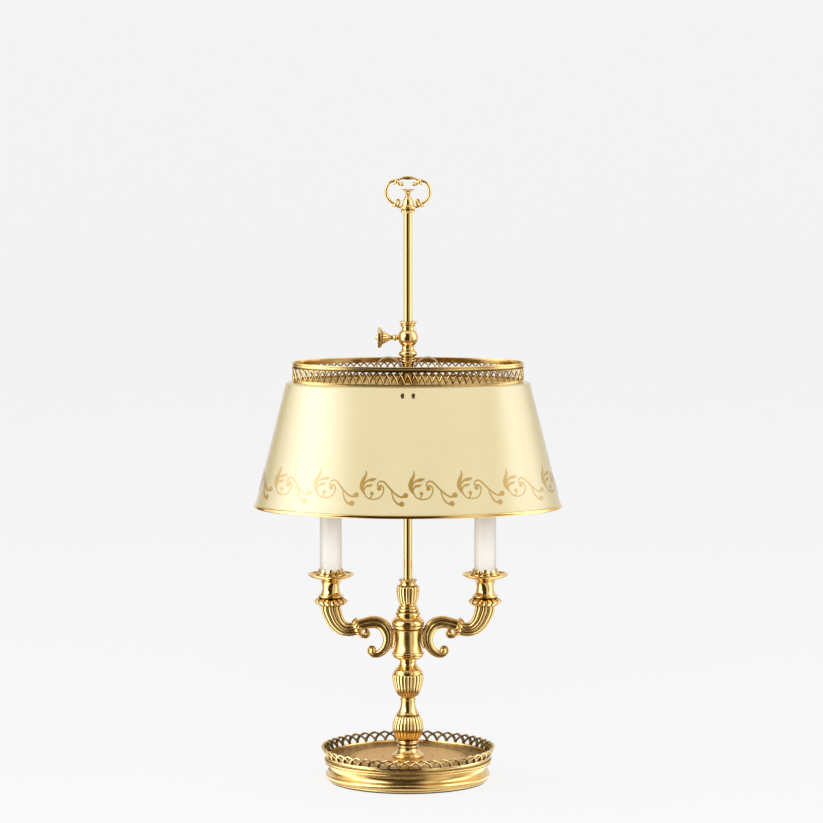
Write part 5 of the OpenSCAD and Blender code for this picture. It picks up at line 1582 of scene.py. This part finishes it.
class LAMP_OT_stage(bpy.types.Operator):
    """Lay the floor and backdrop, and set the lights and cards"""
    bl_idname = "lamp.stage"
    bl_label = "Stage"

    def execute(self, context):
        stage = context.scene.lamp_stage
        set_backdrop(stage)
        set_tent()
        for name, (centre, size, watts, gloss_only) in LIGHTS.items():
            set_light(name, centre, size, watts * stage.light, gloss_only)
        set_world(stage)
        context.scene.view_settings.view_transform = "Standard"
        return {"FINISHED"}


class LAMP_OT_base(bpy.types.Operator):
    """Dress the plinth, tray, base gallery and cord inlet"""
    bl_idname = "lamp.base"
    bl_label = "Base"

    def execute(self, context):
        dress_plinth()
        dress_tray()
        dress_base_gallery(context.scene.lamp_ornament)
        dress_inlet()
        refinish("felt", "felt_pad")
        return {"FINISHED"}


class LAMP_OT_column(bpy.types.Operator):
    """Turn and reed the pieces of the column, and draw the mast"""
    bl_idname = "lamp.column"
    bl_label = "Column"

    def execute(self, context):
        dress_column(context.scene.lamp_ornament)
        dress_mast()
        return {"FINISHED"}


class LAMP_OT_arms(bpy.types.Operator):
    """Shape the horn and scroll of each arm"""
    bl_idname = "lamp.arms"
    bl_label = "Arms"

    def execute(self, context):
        dress_arms(context.scene.lamp_ornament)
        return {"FINISHED"}


class LAMP_OT_candles(bpy.types.Operator):
    """Dress the cups, pans, petals, sleeves and bulbs"""
    bl_idname = "lamp.candles"
    bl_label = "Candles"

    def execute(self, context):
        dress_candles(context.scene.lamp_ornament)
        return {"FINISHED"}


class LAMP_OT_finial(bpy.types.Operator):
    """Shape the leaf collar, the bell and the ring handle"""
    bl_idname = "lamp.finial"
    bl_label = "Finial"

    def execute(self, context):
        dress_finial_collar()
        dress_baluster()
        dress_ring_handle()
        return {"FINISHED"}


class LAMP_OT_slider(bpy.types.Operator):
    """Dress the slider, its nozzle, the straps and the clamp screw"""
    bl_idname = "lamp.slider"
    bl_label = "Slider"

    def execute(self, context):
        dress_slider()
        dress_nozzle()
        dress_straps()
        dress_thumb_screw()
        return {"FINISHED"}


class LAMP_OT_shade(bpy.types.Operator):
    """Form the shade, its rims, its gallery and its screws"""
    bl_idname = "lamp.shade"
    bl_label = "Shade"

    def execute(self, context):
        oval = Oval()
        dress_shell(oval)
        dress_rims(oval)
        dress_shade_gallery(oval, context.scene.lamp_ornament)
        dress_screws(oval)
        return {"FINISHED"}


class LAMP_OT_stencil(bpy.types.Operator):
    """Lay the stencilled border round the shade"""
    bl_idname = "lamp.stencil"
    bl_label = "Stencil"

    def execute(self, context):
        dress_stencil(Oval(), context.scene.lamp_ornament)
        return {"FINISHED"}


class LAMP_OT_inside(bpy.types.Operator):
    """Give the working parts inside their finishes"""
    bl_idname = "lamp.inside"
    bl_label = "Working parts"

    def execute(self, context):
        refinish("iron", "ballast_disc")
        refinish("steel", "tie_rod", "tie_nut", "tie_washer", "arm_nipples", "arm_nuts")
        refinish("moulding", "terminal_block", "guide_bush", "clamp_pad", "lampholder_left",
                 "lampholder_right")
        refinish("rubber", "lead_left", "lead_right")
        refinish("polished", "bulb_cap_left", "bulb_cap_right")
        refinish("satin", "carrier_bar", "carrier_nut")
        return {"FINISHED"}


class LAMP_PT_panel(bpy.types.Panel):
    """Lists the lamp's pieces, finishes and stage"""
    bl_idname = "LAMP_PT_panel"
    bl_label = "Lamp"
    bl_space_type = "VIEW_3D"
    bl_region_type = "UI"
    bl_category = "Lamp"

    def draw(self, context):
        for group in GROUPS:
            box = self.layout.box()
            holder = getattr(context.scene, group)
            for name in type(holder).__annotations__:
                box.prop(holder, name)
        for operator in OPERATORS:
            self.layout.operator(operator.bl_idname)


GROUPS = {"lamp_finish": LampFinish, "lamp_ornament": LampOrnament, "lamp_stage": LampStage}
OPERATORS = (LAMP_OT_camera, LAMP_OT_base, LAMP_OT_column, LAMP_OT_arms, LAMP_OT_candles,
             LAMP_OT_finial, LAMP_OT_slider, LAMP_OT_shade, LAMP_OT_stencil, LAMP_OT_inside,
             LAMP_OT_stage)


def register():
    for cls in (*GROUPS.values(), *OPERATORS, LAMP_PT_panel):
        bpy.utils.register_class(cls)
    for name, group in GROUPS.items():
        setattr(bpy.types.Scene, name, bpy.props.PointerProperty(type=group))


def unregister():
    for name in GROUPS:
        delattr(bpy.types.Scene, name)
    for cls in (LAMP_PT_panel, *reversed(OPERATORS), *reversed(GROUPS.values())):
        bpy.utils.unregister_class(cls)


def main():
    register()
    bpy.ops.lamp.camera()
    bpy.ops.lamp.base()
    bpy.ops.lamp.column()
    bpy.ops.lamp.arms()
    bpy.ops.lamp.candles()
    bpy.ops.lamp.finial()
    bpy.ops.lamp.slider()
    bpy.ops.lamp.shade()
    bpy.ops.lamp.stencil()
    bpy.ops.lamp.inside()
    bpy.ops.lamp.stage()


if __name__ == "__main__":
    main()
